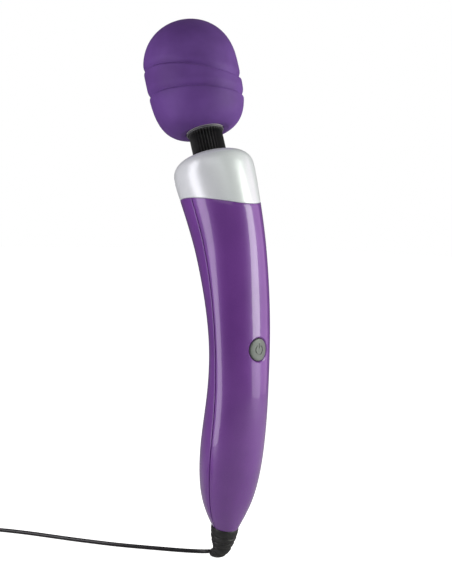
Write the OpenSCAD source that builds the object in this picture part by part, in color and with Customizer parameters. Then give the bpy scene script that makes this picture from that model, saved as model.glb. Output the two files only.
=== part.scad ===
// Corded wand massager: a two-shell curved handle with a motor inside, a flexible
// ribbed neck and a soft head that holds a spinning eccentric weight.
// Millimetres. The origin is the middle of the grip, +Z runs up to the head, the button
// faces -Y, and the grip's centre line leans towards +Y at both ends.

/* [Handle] */
// Radius of the centre line below the grip
lower_arc_r = 600; // [560:10:700]
// Radius of the centre line's bend above the grip
upper_arc_r = 228; // [220:1:240]
// Lean of the neck and head from the grip, in degrees
neck_lean = 20; // [19:0.5:21]
// Wall thickness of the two handle shells
shell_wall = 2.2; // [1.8:0.1:2.4]
// Radius of the narrow tail end of the handle
tail_r = 8.2; // [8:0.1:8.4]

/* [Head] */
// Largest radius of the massage head
head_r = 29.1; // [28.5:0.1:29.5]
// Height of the head above its widest place
head_up_h = 29.4; // [28:0.2:31]
// Height of the head below its widest place
head_low_h = 42.6; // [42:0.2:43]
// Thickness of the soft silicone cap
skin_wall = 2.6; // [2:0.1:2.8]
// Depth of the two wavy grooves round the head
groove_depth = 1.2; // [0.6:0.1:1.5]

/* [Neck] */
// Outer radius of the flexible neck boot
boot_r = 10.25; // [9.8:0.05:10.4]
// Largest bend of each neck hinge, in degrees
neck_bend = 15; // [5:1:15]
// Mean radius of the neck spring
spring_r = 6.9; // [6.6:0.1:7]

/* [Button] */
// Radius of the round power button
button_r = 6.5; // [6:0.1:6.6]
// Travel of the power button
button_travel = 0.6; // [0.4:0.1:0.6]

/* [Motor] */
// Radius of the motor can
motor_r = 12.2; // [11.5:0.1:12.4]
// Radius of the motor shaft
motor_shaft_r = 1.5; // [1.4:0.05:1.5]
// Radial running clearance of every shaft in its bearing
running_gap = 0.05; // [0.03:0.01:0.08]

/* [Cord] */
// Diameter of the low-voltage cord
cord_d = 2.5; // [2.3:0.1:2.6]
// Mean radius of the coiled cord's ring
coil_mid_r = 14.5; // [14:0.5:16]
// Width of the coiled cord's section
coil_section = 11; // [10:0.5:11.5]

/* [Hidden] */
$fn = 48;

// ---- Centre line: an arc below the grip, a tighter arc above it, then a straight neck
bend_len = upper_arc_r * neck_lean * PI / 180;
function lean(s) = s < 0 ? s / lower_arc_r * 180 / PI : min(s, bend_len) / upper_arc_r * 180 / PI;
function mid_y(s) = s < 0 ? lower_arc_r * (1 - cos(lean(s)))
    : upper_arc_r * (1 - cos(lean(s))) + max(s - bend_len, 0) * sin(neck_lean);
function mid_z(s) = s < 0 ? lower_arc_r * sin(lean(s))
    : upper_arc_r * sin(lean(s)) + max(s - bend_len, 0) * cos(neck_lean);
// A point x across and n behind the centre line, at the distance s along it
function on_line(x, n, s) = [x, mid_y(s) + n * cos(lean(s)), mid_z(s) - n * sin(lean(s))];
// Children stand on the centre line at s, with their +Z along it and +Y to the rear
module at(s) translate([0, mid_y(s), mid_z(s)]) rotate([-lean(s), 0, 0]) children();
// Children stand on the straight neck axis, carried on down into the handle
module on_axis(s) at(bend_len) translate([0, 0, s - bend_len]) children();

// ---- Outline of the handle: half-width, front and rear half-depths along the centre line
tail_s = -103;
outline = [[-103, tail_r, tail_r, tail_r], [-96, 12, 9.9, 12.9], [-87, 15.1, 12.5, 17.8],
    [-74, 17.8, 14.6, 20.7], [-52, 19.2, 16.2, 21.6], [-26, 18.7, 17.2, 19], [0, 19.3, 16.5, 16.2],
    [28, 20.3, 16.9, 17.4], [56, 20.9, 19.8, 20.3], [84, 21.9, 23.6, 22.4],
    [104, 23.8, 24.6, 24], [111.5, 24.6, 24.6, 24.4], [125, 25, 24.6, 24.6]];
last = len(outline) - 1;
function span(s, i = 0) = i < last - 1 && s > outline[i + 1][0] ? span(s, i + 1) : i;
function slope(i) = let (a = max(i - 1, 0), b = min(i + 1, last))
    (outline[b] - outline[a]) / (outline[b][0] - outline[a][0]);
// Smooth curve through the stations: [s, half-width, front, rear]
function half_sizes(s) = let (i = span(s), h = outline[i + 1][0] - outline[i][0],
        t = (s - outline[i][0]) / h)
    (2 * t ^ 3 - 3 * t ^ 2 + 1) * outline[i] + (t ^ 3 - 2 * t ^ 2 + t) * h * slope(i)
    + (3 * t ^ 2 - 2 * t ^ 3) * outline[i + 1] + (t ^ 3 - t ^ 2) * h * slope(i + 1);
// Point of the handle's outline; angle 0 is +X and 90 is the front
function rim_point(s, angle, inset) = let (q = half_sizes(s))
    on_line((q[1] - inset) * cos(angle),
        sin(angle) > 0 ? -(q[2] - inset) * sin(angle) : -(q[3] - inset) * sin(angle), s);

// ---- Wavy edge between the shells and the collar
edge_mid = 94;
function edge_rise(angle) = 1.4 - 8.2 * sin(angle) + 1.6 * cos(2 * angle);
function edge_s(angle) = edge_mid + edge_rise(angle);

// ---- A wall swept up the handle. A row is [s, share of the wave, outer inset, inner inset]
function row_s(row, angle) = row[0] + row[1] * edge_rise(angle);
function ring(row, angles, inset) = [for (a = angles) rim_point(row_s(row, a), a, inset)];
module swept_wall(rows, angles, closed) {
    m = len(angles);
    n = len(rows);
    outer = [for (row = rows) each ring(row, angles, row[2])];
    inner = [for (row = rows) each ring(row, angles, row[3])];
    k = n * m;
    steps = closed ? m : m - 1;
    polyhedron(concat(outer, inner), concat(
        [for (j = [0 : n - 2], i = [0 : steps - 1]) let (a = j * m + i, b = j * m + (i + 1) % m)
            each [[a, b + m, a + m], [a, b, b + m]]],
        [for (j = [0 : n - 2], i = [0 : steps - 1])
            let (a = k + j * m + i, b = k + j * m + (i + 1) % m)
            each [[a, b + m, b], [a, a + m, b + m]]],
        [for (i = [0 : steps - 1]) let (j = (i + 1) % m) each [[i, k + j, j], [i, k + i, k + j]]],
        [for (i = [0 : steps - 1]) let (a = (n - 1) * m + i, b = (n - 1) * m + (i + 1) % m)
            each [[a, b, k + b], [a, k + b, k + a]]],
        closed ? [] : [for (j = [0 : n - 2]) let (a = j * m)
            each [[a, k + a + m, k + a], [a, a + m, k + a + m]]],
        closed ? [] : [for (j = [0 : n - 2]) let (a = j * m + m - 1)
            each [[a, k + a, k + a + m], [a, k + a + m, a + m]]]), convexity = 10);
}
spigot_inset = 2.6;
spigot_top = 112;
shell_rows = concat(
    [for (s = [tail_s, -99.5, -96, -91.5, -87, -80, -74, -64, -52, -39, -26, -13, 0, 14, 28, 42,
        56]) [s, 0, 0, shell_wall]],
    [[70, 0, 0, shell_wall], [82, 0.5, 0, shell_wall], [90, 0.9, 0, shell_wall + 0.8],
     [edge_mid, 1, 0, 4.6], [edge_mid + 0.05, 1, spigot_inset, 4.6],
     [104, 0.4, spigot_inset, 4.6], [spigot_top, 0, spigot_inset, 4.6]]);
half_steps = 16;
front_angles = [for (i = [0 : half_steps]) 180 * i / half_steps];
rear_angles = [for (i = [0 : half_steps]) 180 + 180 * i / half_steps];

// ---- Places that several pieces share
button_s = 7;
button_n = half_sizes(button_s)[2];
recess_r = 7.75;
recess_depth = 0.6;
button_gap = 0.3;
gasket_r = 8.4;
collar_back_n = 12.5;
shell_screw_s = [-74, -36, 40];
board_screw_z = [-19, 19];
seat_screw_a = [45, 135, 225, 315];
seat_screw_r = 17;
rib_s = 85;
half_box = 60;

// A half of space in front of the centre line (side = -1) or behind it (side = 1)
module half_space(side, gap = 0)
    translate([-half_box, side > 0 ? gap : -half_box - gap, -half_box])
        cube([2 * half_box, half_box, 2 * half_box]);

// Wall across the tail with the hole that the strain relief's neck fills
relief_neck_r = 4.6;
module tail_wall(side) intersection() {
    at(tail_s) difference() {
        cylinder(h = 2.5, r = tail_r - 1);
        translate([0, 0, -1]) cylinder(h = 5, r = relief_neck_r + 0.05);
    }
    at(tail_s) half_space(side);
}
// Rib that the motor mount sits on
module motor_rib(side) {
    q = half_sizes(rib_s);
    angles = side < 0 ? front_angles : rear_angles;
    at(rib_s) linear_extrude(2) difference() {
        polygon([for (a = angles) let (inset = sin(a) > 0 ? 1.9 + 0.9 * sin(a) : 1)
            [(q[1] - inset) * cos(a), -((sin(a) > 0 ? q[2] : q[3]) - inset) * sin(a)]]);
        circle(r = motor_r + 0.3);
    }
}
module seat_bosses(side)
    for (a = seat_screw_a) if (sin(a) * side < 0)
        on_axis(98) rotate([0, 0, -a]) translate([seat_screw_r, 0, 0])
            difference() {
                cylinder(h = spigot_top - 98, r = 3);
                translate([0, 0, 4]) cylinder(h = 12, r = 1.3);
            }

boss_r = 3.4;
module front_shell() color([0.45, 0.2, 0.6]) difference() {
    union() {
        swept_wall(shell_rows, front_angles, false);
        tail_wall(-1);
        motor_rib(-1);
        seat_bosses(-1);
        for (s = shell_screw_s)
            at(s) rotate([90, 0, 0]) cylinder(h = half_sizes(s)[2] - 1, r = boss_r);
        for (z = board_screw_z)
            at(button_s) translate([0, board_front, z]) rotate([90, 0, 0])
                cylinder(h = half_sizes(button_s + z)[2] - 1.8 + board_front, r = 2.6);
        facing_front(collar_back_n) cylinder(h = button_n - 1 - collar_back_n, r = gasket_r);
    }
    facing_front(0) cylinder(h = 30, r = button_r + button_gap);
    facing_front(button_n - recess_depth) cylinder(h = 10, r1 = button_r + button_gap,
        r2 = button_r + button_gap + 10 * (recess_r - button_r - button_gap) / recess_depth);
    for (s = shell_screw_s)
        at(s) translate([0, 1, 0]) rotate([90, 0, 0]) cylinder(h = 10, r = 1.25);
    for (z = board_screw_z)
        at(button_s) translate([0, board_front + 1, z]) rotate([90, 0, 0])
            cylinder(h = 7, r = 1.05);
}
screw_head_n = 7;
module rear_shell() color([0.45, 0.2, 0.6]) difference() {
    union() {
        swept_wall(shell_rows, rear_angles, false);
        tail_wall(1);
        motor_rib(1);
        seat_bosses(1);
        for (s = shell_screw_s)
            at(s) rotate([-90, 0, 0]) cylinder(h = half_sizes(s)[3] - 1, r = boss_r + 0.8);
        for (x = [-clamp_x, clamp_x])
            at(clamp_s) translate([x, clamp_n, 0]) rotate([-90, 0, 0])
                cylinder(h = half_sizes(clamp_s)[3] - clamp_n - 3, r = 2);
    }
    for (s = shell_screw_s) {
        at(s) translate([0, -1, 0]) rotate([-90, 0, 0]) cylinder(h = 40, r = 1.6);
        at(s) translate([0, screw_head_n, 0]) rotate([-90, 0, 0]) cylinder(h = 30, r = 2.9);
    }
    for (x = [-clamp_x, clamp_x])
        at(clamp_s) translate([x, clamp_n - 1, 0]) rotate([-90, 0, 0]) cylinder(h = 6, r = 0.85);
}
// Pan-head screw with its head on the plane z = 0 and its shank downwards
module screw(shank_r, length, head_r, head_h) difference() {
    union() {
        translate([0, 0, -length]) cylinder(h = length, r = shank_r);
        cylinder(h = head_h, r = head_r);
    }
    for (turn = [0, 90]) rotate([0, 0, turn]) translate([-head_r * 0.6, -0.25, head_h * 0.45])
        cube([head_r * 1.2, 0.5, head_h]);
}
module shell_screws() color("silver")
    for (s = shell_screw_s)
        at(s) translate([0, screw_head_n, 0]) rotate([-90, 0, 0]) screw(1.2, 14, 2.7, 2);
module screw_plugs() color([0.42, 0.18, 0.56])
    for (s = shell_screw_s)
        at(s) translate([0, half_sizes(s)[3] - 2.8, 0]) rotate([-90, 0, 0])
            cylinder(h = 2.5, r = 2.85);

// ---- Collar: pearl cap over the top of the shells, with a rounded shoulder
collar_mid_s = 111.5;
collar_h = 13;
collar_top_s = collar_mid_s + collar_h;
collar_power = 3.2;
collar_wall = 2.2;
collar_hole_r = 11;
collar_steps = 40;
function shoulder(a) = [collar_h * sin(a) ^ (2 / collar_power), cos(a) ^ (2 / collar_power)];
function collar_ring(s, k, inset) = [for (i = [0 : collar_steps - 1])
    let (a = 360 * i / collar_steps) rim_point_scaled(s, a, k, inset)];
function rim_point_scaled(s, a, k, inset) = let (q = half_sizes(collar_mid_s))
    on_line(k * (q[1] - inset) * cos(a),
        -k * ((sin(a) > 0 ? q[2] : q[3]) - inset) * sin(a), s);
function loose_ring(row, inset) = [for (i = [0 : collar_steps - 1])
    let (a = 360 * i / collar_steps) rim_point(row_s(row, a), a, inset)];
collar_side = [[edge_mid + 0.2, 1], [98, 0.8], [102, 0.5], [106, 0.2], [collar_mid_s, 0]];
module collar() color([0.78, 0.8, 0.81]) {
    tilts = [18, 34, 48, 60, 70, 78];
    floor_s = collar_top_s - collar_wall;
    rings = concat(
        [for (row = collar_side) loose_ring(row, 0)],
        [for (a = tilts) let (q = shoulder(a)) collar_ring(collar_mid_s + q[0], q[1], 0)],
        [collar_ring(collar_top_s, collar_hole_r / 24.6, 0),
         collar_ring(floor_s, collar_hole_r / 24.6, 0)],
        [collar_ring(floor_s, 0.7, collar_wall)],
        [collar_ring(floor_s - 2, 0.95, collar_wall)],
        [for (i = [len(collar_side) - 1 : -1 : 0]) loose_ring(collar_side[i], collar_wall)]);
    ring_stack(rings, true);
}
// Closed solid from rings of points; the last ring joins the first one when looped
module ring_stack(rings, looped) {
    n = len(rings);
    m = len(rings[0]);
    steps = looped ? n : n - 1;
    polyhedron([for (r = rings) each r], concat(
        [for (j = [0 : steps - 1], i = [0 : m - 1])
            let (a = j * m + i, b = j * m + (i + 1) % m, up = ((j + 1) % n - j) * m)
            each [[a, b + up, a + up], [a, b, b + up]]],
        looped ? [] : [[for (i = [m - 1 : -1 : 0]) i]],
        looped ? [] : [[for (i = [0 : m - 1]) (n - 1) * m + i]]), convexity = 10);
}

// ---- Button and switch, set on the handle's front
board_front = -5.6;
board_t = 1.6;
flange_n = 11.9;
button_back_n = 11.1;
sign_depth = 0.45;
switch_front = -9.6;
module facing_front(n) at(button_s) translate([0, -n, 0]) rotate([90, 0, 0]) children();
module power_button() color([0.55, 0.55, 0.55]) difference() {
    union() {
        intersection() {
            facing_front(button_back_n) cylinder(h = 10, r = button_r);
            at(button_s) translate([0, 0, -10]) linear_extrude(20)
                scale([half_sizes(button_s)[1], button_n, 1])
                    circle(r = 1, $fn = 96);
        }
        facing_front(button_back_n) cylinder(h = flange_n - button_back_n, r = button_r + 1);
    }
    facing_front(button_n - sign_depth) power_sign(2);
}
// Generic open ring with a bar, engraved in the button
module power_sign(depth) {
    difference() {
        cylinder(h = depth, r = 3);
        translate([0, 0, -1]) cylinder(h = depth + 2, r = 2.4);
        translate([-1, 0, -1]) cube([2, 5, depth + 2]);
    }
    translate([-0.3, 0.4, 0]) cube([0.6, 2.8, depth]);
}
module button_gasket() color([0.15, 0.15, 0.16]) facing_front(flange_n + 0.1) difference() {
    cylinder(h = collar_back_n - flange_n - 0.15, r = gasket_r - 0.5);
    translate([0, 0, -1]) cylinder(h = 3, r = button_r + button_gap);
}
plunger_r = 1.75;
module switch_body() color([0.12, 0.12, 0.13]) difference() {
    at(button_s) translate([-3.5, switch_front, -3.5]) cube([7, board_front - switch_front, 7]);
    facing_front(-switch_front - 2) cylinder(h = 5, r = plunger_r + 0.1);
}
module switch_plunger() color([0.8, 0.75, 0.6])
    facing_front(-switch_front - 1) cylinder(h = 2.4, r = plunger_r);

// ---- Control board on the front shell's posts
board_x = 11;
board_bottom = -28;
board_top = 24;
module control_board() color([0.1, 0.35, 0.18]) difference() {
    at(button_s) translate([-board_x, board_front, board_bottom])
        cube([2 * board_x, board_t, board_top - board_bottom]);
    for (z = board_screw_z)
        at(button_s) translate([0, 5, z]) rotate([90, 0, 0]) cylinder(h = 20, r = 1.3);
}
board_back = board_front + board_t;
module board_parts() color([0.2, 0.2, 0.22]) {
    at(button_s) {
        translate([2.6, board_back, board_bottom]) cube([7, 3, 5]);
        translate([-9, board_back, 5]) cube([5, 1.6, 8]);
        translate([4, board_back, -8]) cube([4, 1.2, 4]);
        translate([-9, board_back, board_top - 4]) cube([5, 4, 4]);
        translate([4, board_back, board_top - 4]) cube([5, 4, 4]);
        translate([-5.5, board_back, -10]) rotate([-90, 0, 0]) cylinder(h = 8, r = 3.1);
        translate([6, board_back, 6]) rotate([-90, 0, 0]) cylinder(h = 6, r = 2.4);
    }
}
module board_screws() color("silver")
    for (z = board_screw_z)
        at(button_s) translate([0, board_back + 0.05, z]) rotate([-90, 0, 0])
            screw(1, 6, 1.9, 1.3);

// ---- Motor on the neck's axis
can_bottom = 56;
can_top = 87.2;
can_wall = 0.9;
module motor_can() color([0.7, 0.7, 0.72]) difference() {
    union() {
        on_axis(can_bottom) cylinder(h = can_top - can_bottom, r = motor_r);
        on_axis(can_top) cylinder(h = 2.2, r = 3);
    }
    on_axis(can_bottom - 1) cylinder(h = can_top - can_bottom - 1.2, r = motor_r - can_wall);
    on_axis(can_top - 5) cylinder(h = 10, r = motor_shaft_r + running_gap);
    for (x = [-8, 8]) on_axis(can_top - 3) translate([x, 0, 0]) cylinder(h = 6, r = 1.05);
}
magnet_in = 9.2;
module motor_magnets() color([0.25, 0.25, 0.27]) on_axis(can_bottom + 3) difference() {
    cylinder(h = 24, r = motor_r - can_wall - 0.05);
    translate([0, 0, -1]) cylinder(h = 26, r = magnet_in);
    translate([-3, -20, -1]) cube([6, 40, 26]);
}
module motor_armature() color([0.75, 0.45, 0.2]) {
    on_axis(can_bottom + 5) difference() {
        union() {
            cylinder(h = 20, r = 8.6);
            translate([0, 0, -3]) cylinder(h = 3.2, r = 3.4);
        }
        translate([0, 0, -5]) cylinder(h = 30, r = motor_shaft_r + 0.02);
        for (turn = [0, 120, 240]) rotate([0, 0, turn]) translate([-0.8, 4.5, -1])
            cube([1.6, 6, 22]);
    }
}
shaft_top_s = 99;
module motor_shaft() color("silver") on_axis(can_bottom - 4.6)
    cylinder(h = shaft_top_s - can_bottom + 4.6, r = motor_shaft_r);
module motor_end_cap() color([0.9, 0.9, 0.85]) difference() {
    union() {
        on_axis(can_bottom - 2.4) cylinder(h = 2.4, r = motor_r - 0.3);
        on_axis(can_bottom) cylinder(h = 1.8, r = motor_r - can_wall - 0.05);
        on_axis(can_bottom - 5.4) cylinder(h = 3.2, r = 3.4);
        for (x = [-6.5, 6.5]) on_axis(can_bottom - 5) translate([x - 1.2, -0.4, 0])
            cube([2.4, 0.8, 4]);
    }
    on_axis(can_bottom - 5) cylinder(h = 10, r = motor_shaft_r + running_gap);
}
module motor_mount() color([0.3, 0.3, 0.32]) on_axis(can_top + 0.05) difference() {
    translate([0, -0.6, 0]) cylinder(h = 2.2, r = 16);
    translate([0, 0, -1]) cylinder(h = 5, r = 3.1);
    for (x = [-8, 8]) translate([x, 0, -1]) cylinder(h = 5, r = 1.3);
}
module motor_screws() color("silver")
    for (x = [-8, 8]) on_axis(can_top + 2.3) translate([x, 0, 0]) screw(1, 4.4, 1.9, 1.3);

// ---- Leads held inside the handle; points are [x, n, s] on the handle's centre line
lead_d = 1.4;
red_route = [[6.5, -3.1, 31.4], [6.5, -2.9, 34], [6.5, -2.2, 40], [6.5, -1.6, 46], [6.5, -1.6, 50.7]];
black_route = [for (p = red_route) [-p[0], p[1], p[2]]];
input_route = [[0, 0, -97.3], [0.3, 0.9, -95.2], [0.5, 1.5, -93], [0.5, 1.5, -90],
    [0.5, 1.5, -87], [1.6, 2.4, -84], [4.6, 3.3, -79.5],
    [8, 3, -74], [8.5, 1.5, -64], [8.5, 0, -50], [8.5, -1, -38], [7, -2.2, -28],
    [6, -2.6, -21.1]];
// Smooth round tube through a list of points
function unit(v) = v / norm(v);
function heading(p, i) = unit(p[min(i + 1, len(p) - 1)] - p[max(i - 1, 0)]);
module tube(points, d, sides) {
    n = len(points);
    rings = [for (i = [0 : n - 1])
        let (t = heading(points, i), side = unit(cross(t, [0.31, 0.9, 0.3])), up = cross(t, side))
        [for (k = [0 : sides - 1]) let (a = -360 * k / sides)
            points[i] + d / 2 * (cos(a) * side + sin(a) * up)]];
    ring_stack(rings, false);
}
// Points of a curve through hand-chosen points, a few to each span
function curve(p, per) = concat([for (i = [0 : len(p) - 2], k = [0 : per - 1])
    let (t = k / per, a = p[max(i - 1, 0)], b = p[i], c = p[i + 1], d = p[min(i + 2, len(p) - 1)])
    0.5 * (2 * b + (c - a) * t + (2 * a - 5 * b + 4 * c - d) * t ^ 2
        + (3 * b - a - 3 * c + d) * t ^ 3)], [p[len(p) - 1]]);
module inner_lead(route, d)
    tube(curve([for (q = route) on_line(q[0], q[1], q[2])], 2), d, 8);
module motor_lead_red() color("red") inner_lead(red_route, lead_d);
module motor_lead_black() color([0.1, 0.1, 0.1]) inner_lead(black_route, lead_d);
module input_lead() color([0.1, 0.1, 0.1]) inner_lead(input_route, cord_d);

// ---- Clamp that holds the lead on two posts of the rear shell
clamp_s = -90;
clamp_n = 5.2;
clamp_x = 6.2;
clamp_t = 6.6;
module lead_clamp() color([0.85, 0.85, 0.8]) at(clamp_s) difference() {
    translate([-8.2, clamp_n - clamp_t, -2.5]) cube([16.4, clamp_t - 0.05, 5]);
    translate([0.5, 1.5, -4]) cylinder(h = 8, r = cord_d / 2 + 0.45);
    for (x = [-clamp_x, clamp_x]) translate([x, -5, 0]) rotate([-90, 0, 0])
        cylinder(h = 14, r = 1.1);
}
module clamp_screws() color("silver")
    for (x = [-clamp_x, clamp_x]) at(clamp_s) translate([x, clamp_n - clamp_t - 0.05, 0])
        rotate([90, 0, 0]) screw(0.8, 9, 1.7, 1.1);

// ---- Neck: a seat plate under the collar, a coil spring and a rubber boot
seat_s = spigot_top + 0.1;
hub_s = 115.2;
hub_top_s = 119.7;
cup_r = 8;
drive_hole_r = 3.7;
module neck_seat() color([0.2, 0.2, 0.22]) difference() {
    union() {
        on_axis(seat_s) cylinder(h = hub_s - seat_s, r = 21.2);
        on_axis(hub_s) cylinder(h = hub_top_s - hub_s, r = 14);
    }
    on_axis(seat_s - 1) cylinder(h = 8, r = drive_hole_r);
    on_axis(hub_s) cylinder(h = 8, r = cup_r);
    for (a = seat_screw_a) on_axis(seat_s - 1) rotate([0, 0, -a])
        translate([seat_screw_r, 0, 0]) cylinder(h = 6, r = 1.6);
}
module seat_screws() color("silver")
    for (a = seat_screw_a) on_axis(hub_s + 0.05) rotate([0, 0, -a])
        translate([seat_screw_r, 0, 0]) screw(1.25, 10, 2.4, 1.6);
wire_r = 0.8;
spring_bottom = hub_s + wire_r + 0.05;
head_cup_s = 144.4;
spring_top = head_cup_s - wire_r - 0.3;
module neck_spring() color([0.6, 0.6, 0.62]) {
    turns = 9;
    steps = 108;
    tube([for (i = [0 : steps]) let (a = 360 * turns * i / steps, t = i / steps,
            s = spring_bottom + (spring_top - spring_bottom) * t)
        on_line(spring_r * cos(a), -spring_r * sin(a), s)], 2 * wire_r, 8);
}
boot_bottom = hub_top_s + 0.1;
boot_top = 140.2;
module neck_boot() color([0.08, 0.08, 0.09]) on_axis(0) rotate_extrude()
    polygon([[8.3, boot_bottom], [13.4, boot_bottom], [13.4, boot_bottom + 2.2],
        [boot_r, boot_bottom + 2.2], [boot_r, boot_top], [8.3, boot_top]]);
drive_bottom = 91;
drive_top = 150.4;
drive_r = 2.9;
module drive_spring() color([0.5, 0.5, 0.52]) on_axis(0) rotate_extrude($fn = 32)
    polygon(concat([[motor_shaft_r + 0.05, drive_bottom]],
        [for (s = [drive_bottom : 1.2 : drive_top - 1]) each [[drive_r - 0.35, s],
            [drive_r, s + 0.6]]],
        [[drive_r - 0.35, drive_top], [motor_shaft_r + 0.05, drive_top]]));
guide_bottom = 126;
guide_top = 138;
module drive_guide() color([0.92, 0.92, 0.9]) on_axis(guide_bottom) difference() {
    cylinder(h = guide_top - guide_bottom, r = 5.2);
    translate([0, 0, -1]) cylinder(h = 20, r = drive_r + 0.6);
}

// ---- Head: its outline is one squashed curve above the widest place and one below
head_mid_s = 182.4;
head_bottom_s = 140.6;
up_power = 2.16;
low_power = 3.75;
function head_point(a, inset) = a < 0
    ? [(head_r - inset) * cos(a) ^ (2 / low_power),
       head_mid_s - (head_low_h - inset) * sin(-a) ^ (2 / low_power)]
    : [(head_r - inset) * cos(a) ^ (2 / up_power),
       head_mid_s + (head_up_h - inset) * sin(a) ^ (2 / up_power)];
function head_radius(s, inset) = s < head_mid_s
    ? (head_r - inset) * (1 - ((head_mid_s - s) / (head_low_h - inset)) ^ low_power)
        ^ (1 / low_power)
    : (head_r - inset) * (1 - ((s - head_mid_s) / (head_up_h - inset)) ^ up_power)
        ^ (1 / up_power);
skin_steps = 36;
function low_groove(a) = 163.1 - 6.3 * cos(a - 76) - 0.2 * cos(2 * a - 152);
function high_groove(a) = 177.7 - 9.2 * cos(a - 76.5) - 1.5 * cos(2 * a - 153);
function skin_ring(levels, drop) = [for (i = [0 : skin_steps - 1])
    let (a = 360 * i / skin_steps, s = levels[i], r = head_radius(s, 0) - drop)
    on_line(r * cos(a), -r * sin(a), s)];
function levels(from, to, share) = [for (i = [0 : skin_steps - 1])
    let (a = 360 * i / skin_steps) from(a) + (to(a) - from(a)) * share];
function at_bottom(a) = head_bottom_s + 0.1;
function at_top(a) = head_mid_s + head_up_h - 0.3;
groove_step = 1.1;
groove_fade = 4.5;
function under_low(a) = low_groove(a) - groove_step;
function over_low(a) = low_groove(a) + groove_fade;
function under_high(a) = high_groove(a) - groove_step;
function over_high(a) = high_groove(a) + groove_fade;
// A steep step under the groove's line and a gentle rise over it: [level, share of depth]
groove_rows = [[-0.35, 0.5], [0.2, 1], [1.4, 0.6], [2.8, 0.22]];
function groove_rings(line) = [for (q = groove_rows) skin_ring(
    [for (i = [0 : skin_steps - 1]) line(360 * i / skin_steps) + q[0]], q[1] * groove_depth)];
skin_mouth_r = 11.6;
function plain_ring(r, s) = [for (i = [0 : skin_steps - 1])
    let (a = 360 * i / skin_steps) on_line(r * cos(a), -r * sin(a), s)];
module head_skin() color([0.32, 0.19, 0.46]) {
    inner_tilts = [84, 70, 52, 34, 16, 0, -16, -32, -48, -60, -68];
    rings = concat(
        [for (a = inner_tilts) let (q = head_point(a, skin_wall)) plain_ring(q[0], q[1])],
        [plain_ring(skin_mouth_r, head_bottom_s + skin_wall),
         plain_ring(skin_mouth_r, head_bottom_s + 0.1)],
        [for (k = [0, 0.02, 0.07, 0.15, 0.3, 0.5, 0.75, 1])
            skin_ring(levels(function(a) at_bottom(a), function(a) under_low(a), k), 0)],
        groove_rings(function(a) low_groove(a)),
        [for (k = [0, 0.5, 1])
            skin_ring(levels(function(a) over_low(a), function(a) under_high(a), k), 0)],
        groove_rings(function(a) high_groove(a)),
        [for (k = [0, 0.2, 0.4, 0.6, 0.75, 0.87, 0.95, 1])
            skin_ring(levels(function(a) over_high(a), function(a) at_top(a), k), 0)]);
    ring_stack(rings, false);
}
// Revolved wall that follows the head's outline between two levels
cup_inset = skin_wall + 0.4;
split_s = 165;
function wall_points(low, high, inset, count) = [for (i = [0 : count])
    let (s = low + (high - low) * i / count) [head_radius(s, inset), s]];
hard_wall = 2.2;
base_floor_s = 143.6;
bearing_s = 152;
head_screw_r = 20.6;
head_boss_s = 153.5;
head_screw_a = [30, 150, 270];
module head_base() color([0.85, 0.85, 0.83]) difference() {
    union() {
        on_axis(0) rotate_extrude()
            polygon(concat([[cup_r + 2.2, head_bottom_s], [skin_mouth_r - 0.3, head_bottom_s],
                [skin_mouth_r - 0.3, base_floor_s]],
                wall_points(base_floor_s, split_s - 0.05, cup_inset, 10),
                [for (q = wall_points(split_s - 0.05, base_floor_s + 2.6, cup_inset + hard_wall,
                    8)) q], [[cup_r + 2.2, base_floor_s + 2.6]]));
        on_axis(head_bottom_s) cylinder(h = bearing_s - head_bottom_s + 5, r = cup_r + 2.3);
        for (a = head_screw_a) on_axis(head_boss_s) rotate([0, 0, a])
            translate([head_screw_r, 0, 0]) cylinder(h = split_s - 0.05 - head_boss_s, r = 2.9);
    }
    on_axis(head_bottom_s - 1) cylinder(h = head_cup_s - head_bottom_s + 1, r = cup_r);
    on_axis(head_cup_s - 1) cylinder(h = 20, r = drive_hole_r);
    on_axis(bearing_s) cylinder(h = 20, r = bearing_r);
    for (a = head_screw_a) {
        on_axis(150) rotate([0, 0, a]) translate([head_screw_r, 0, 0]) cylinder(h = 20, r = 1.4);
        on_axis(145) rotate([0, 0, a]) translate([head_screw_r, 0, 0])
            cylinder(h = head_boss_s + 2.5 - 145, r = 2.3);
    }
}
module head_cup() color([0.85, 0.85, 0.83]) difference() {
    union() {
        on_axis(0) rotate_extrude()
            polygon(concat(wall_points(split_s + 0.05, 207, cup_inset, 14),
                [[0, head_point(90, cup_inset)[1]],
                 [0, head_point(90, cup_inset + hard_wall)[1]]],
                wall_points(205, split_s + 0.05, cup_inset + hard_wall, 14)));
        on_axis(top_bearing_s) cylinder(h = 206.5 - top_bearing_s, r = 9);
        for (a = head_screw_a) on_axis(split_s + 0.05) rotate([0, 0, a])
            translate([head_screw_r, 0, 0]) {
                cylinder(h = 12, r = 2.9);
                translate([0, -2, 0]) cube([4.3, 4, 12]);
            }
    }
    on_axis(top_bearing_s - 1) cylinder(h = 5.1, r = top_bearing_r);
    on_axis(top_bearing_s) cylinder(h = 6, r = 3.2);
    for (a = head_screw_a) on_axis(split_s - 1) rotate([0, 0, a])
        translate([head_screw_r, 0, 0]) cylinder(h = 9, r = 1.05);
}
module head_screws() color("silver")
    for (a = head_screw_a) on_axis(head_boss_s + 2.45) rotate([0, 0, a])
        translate([head_screw_r, 0, 0]) rotate([180, 0, 0]) screw(1, 14, 2.1, 1.4);
neck_ring_h = 1;
module neck_ring() color([0.4, 0.4, 0.42]) on_axis(head_bottom_s - 0.05 - neck_ring_h) difference() {
    cylinder(h = neck_ring_h, r = 11.4);
    translate([0, 0, -1]) cylinder(h = 5, r = boot_r + 0.3);
}

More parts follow.
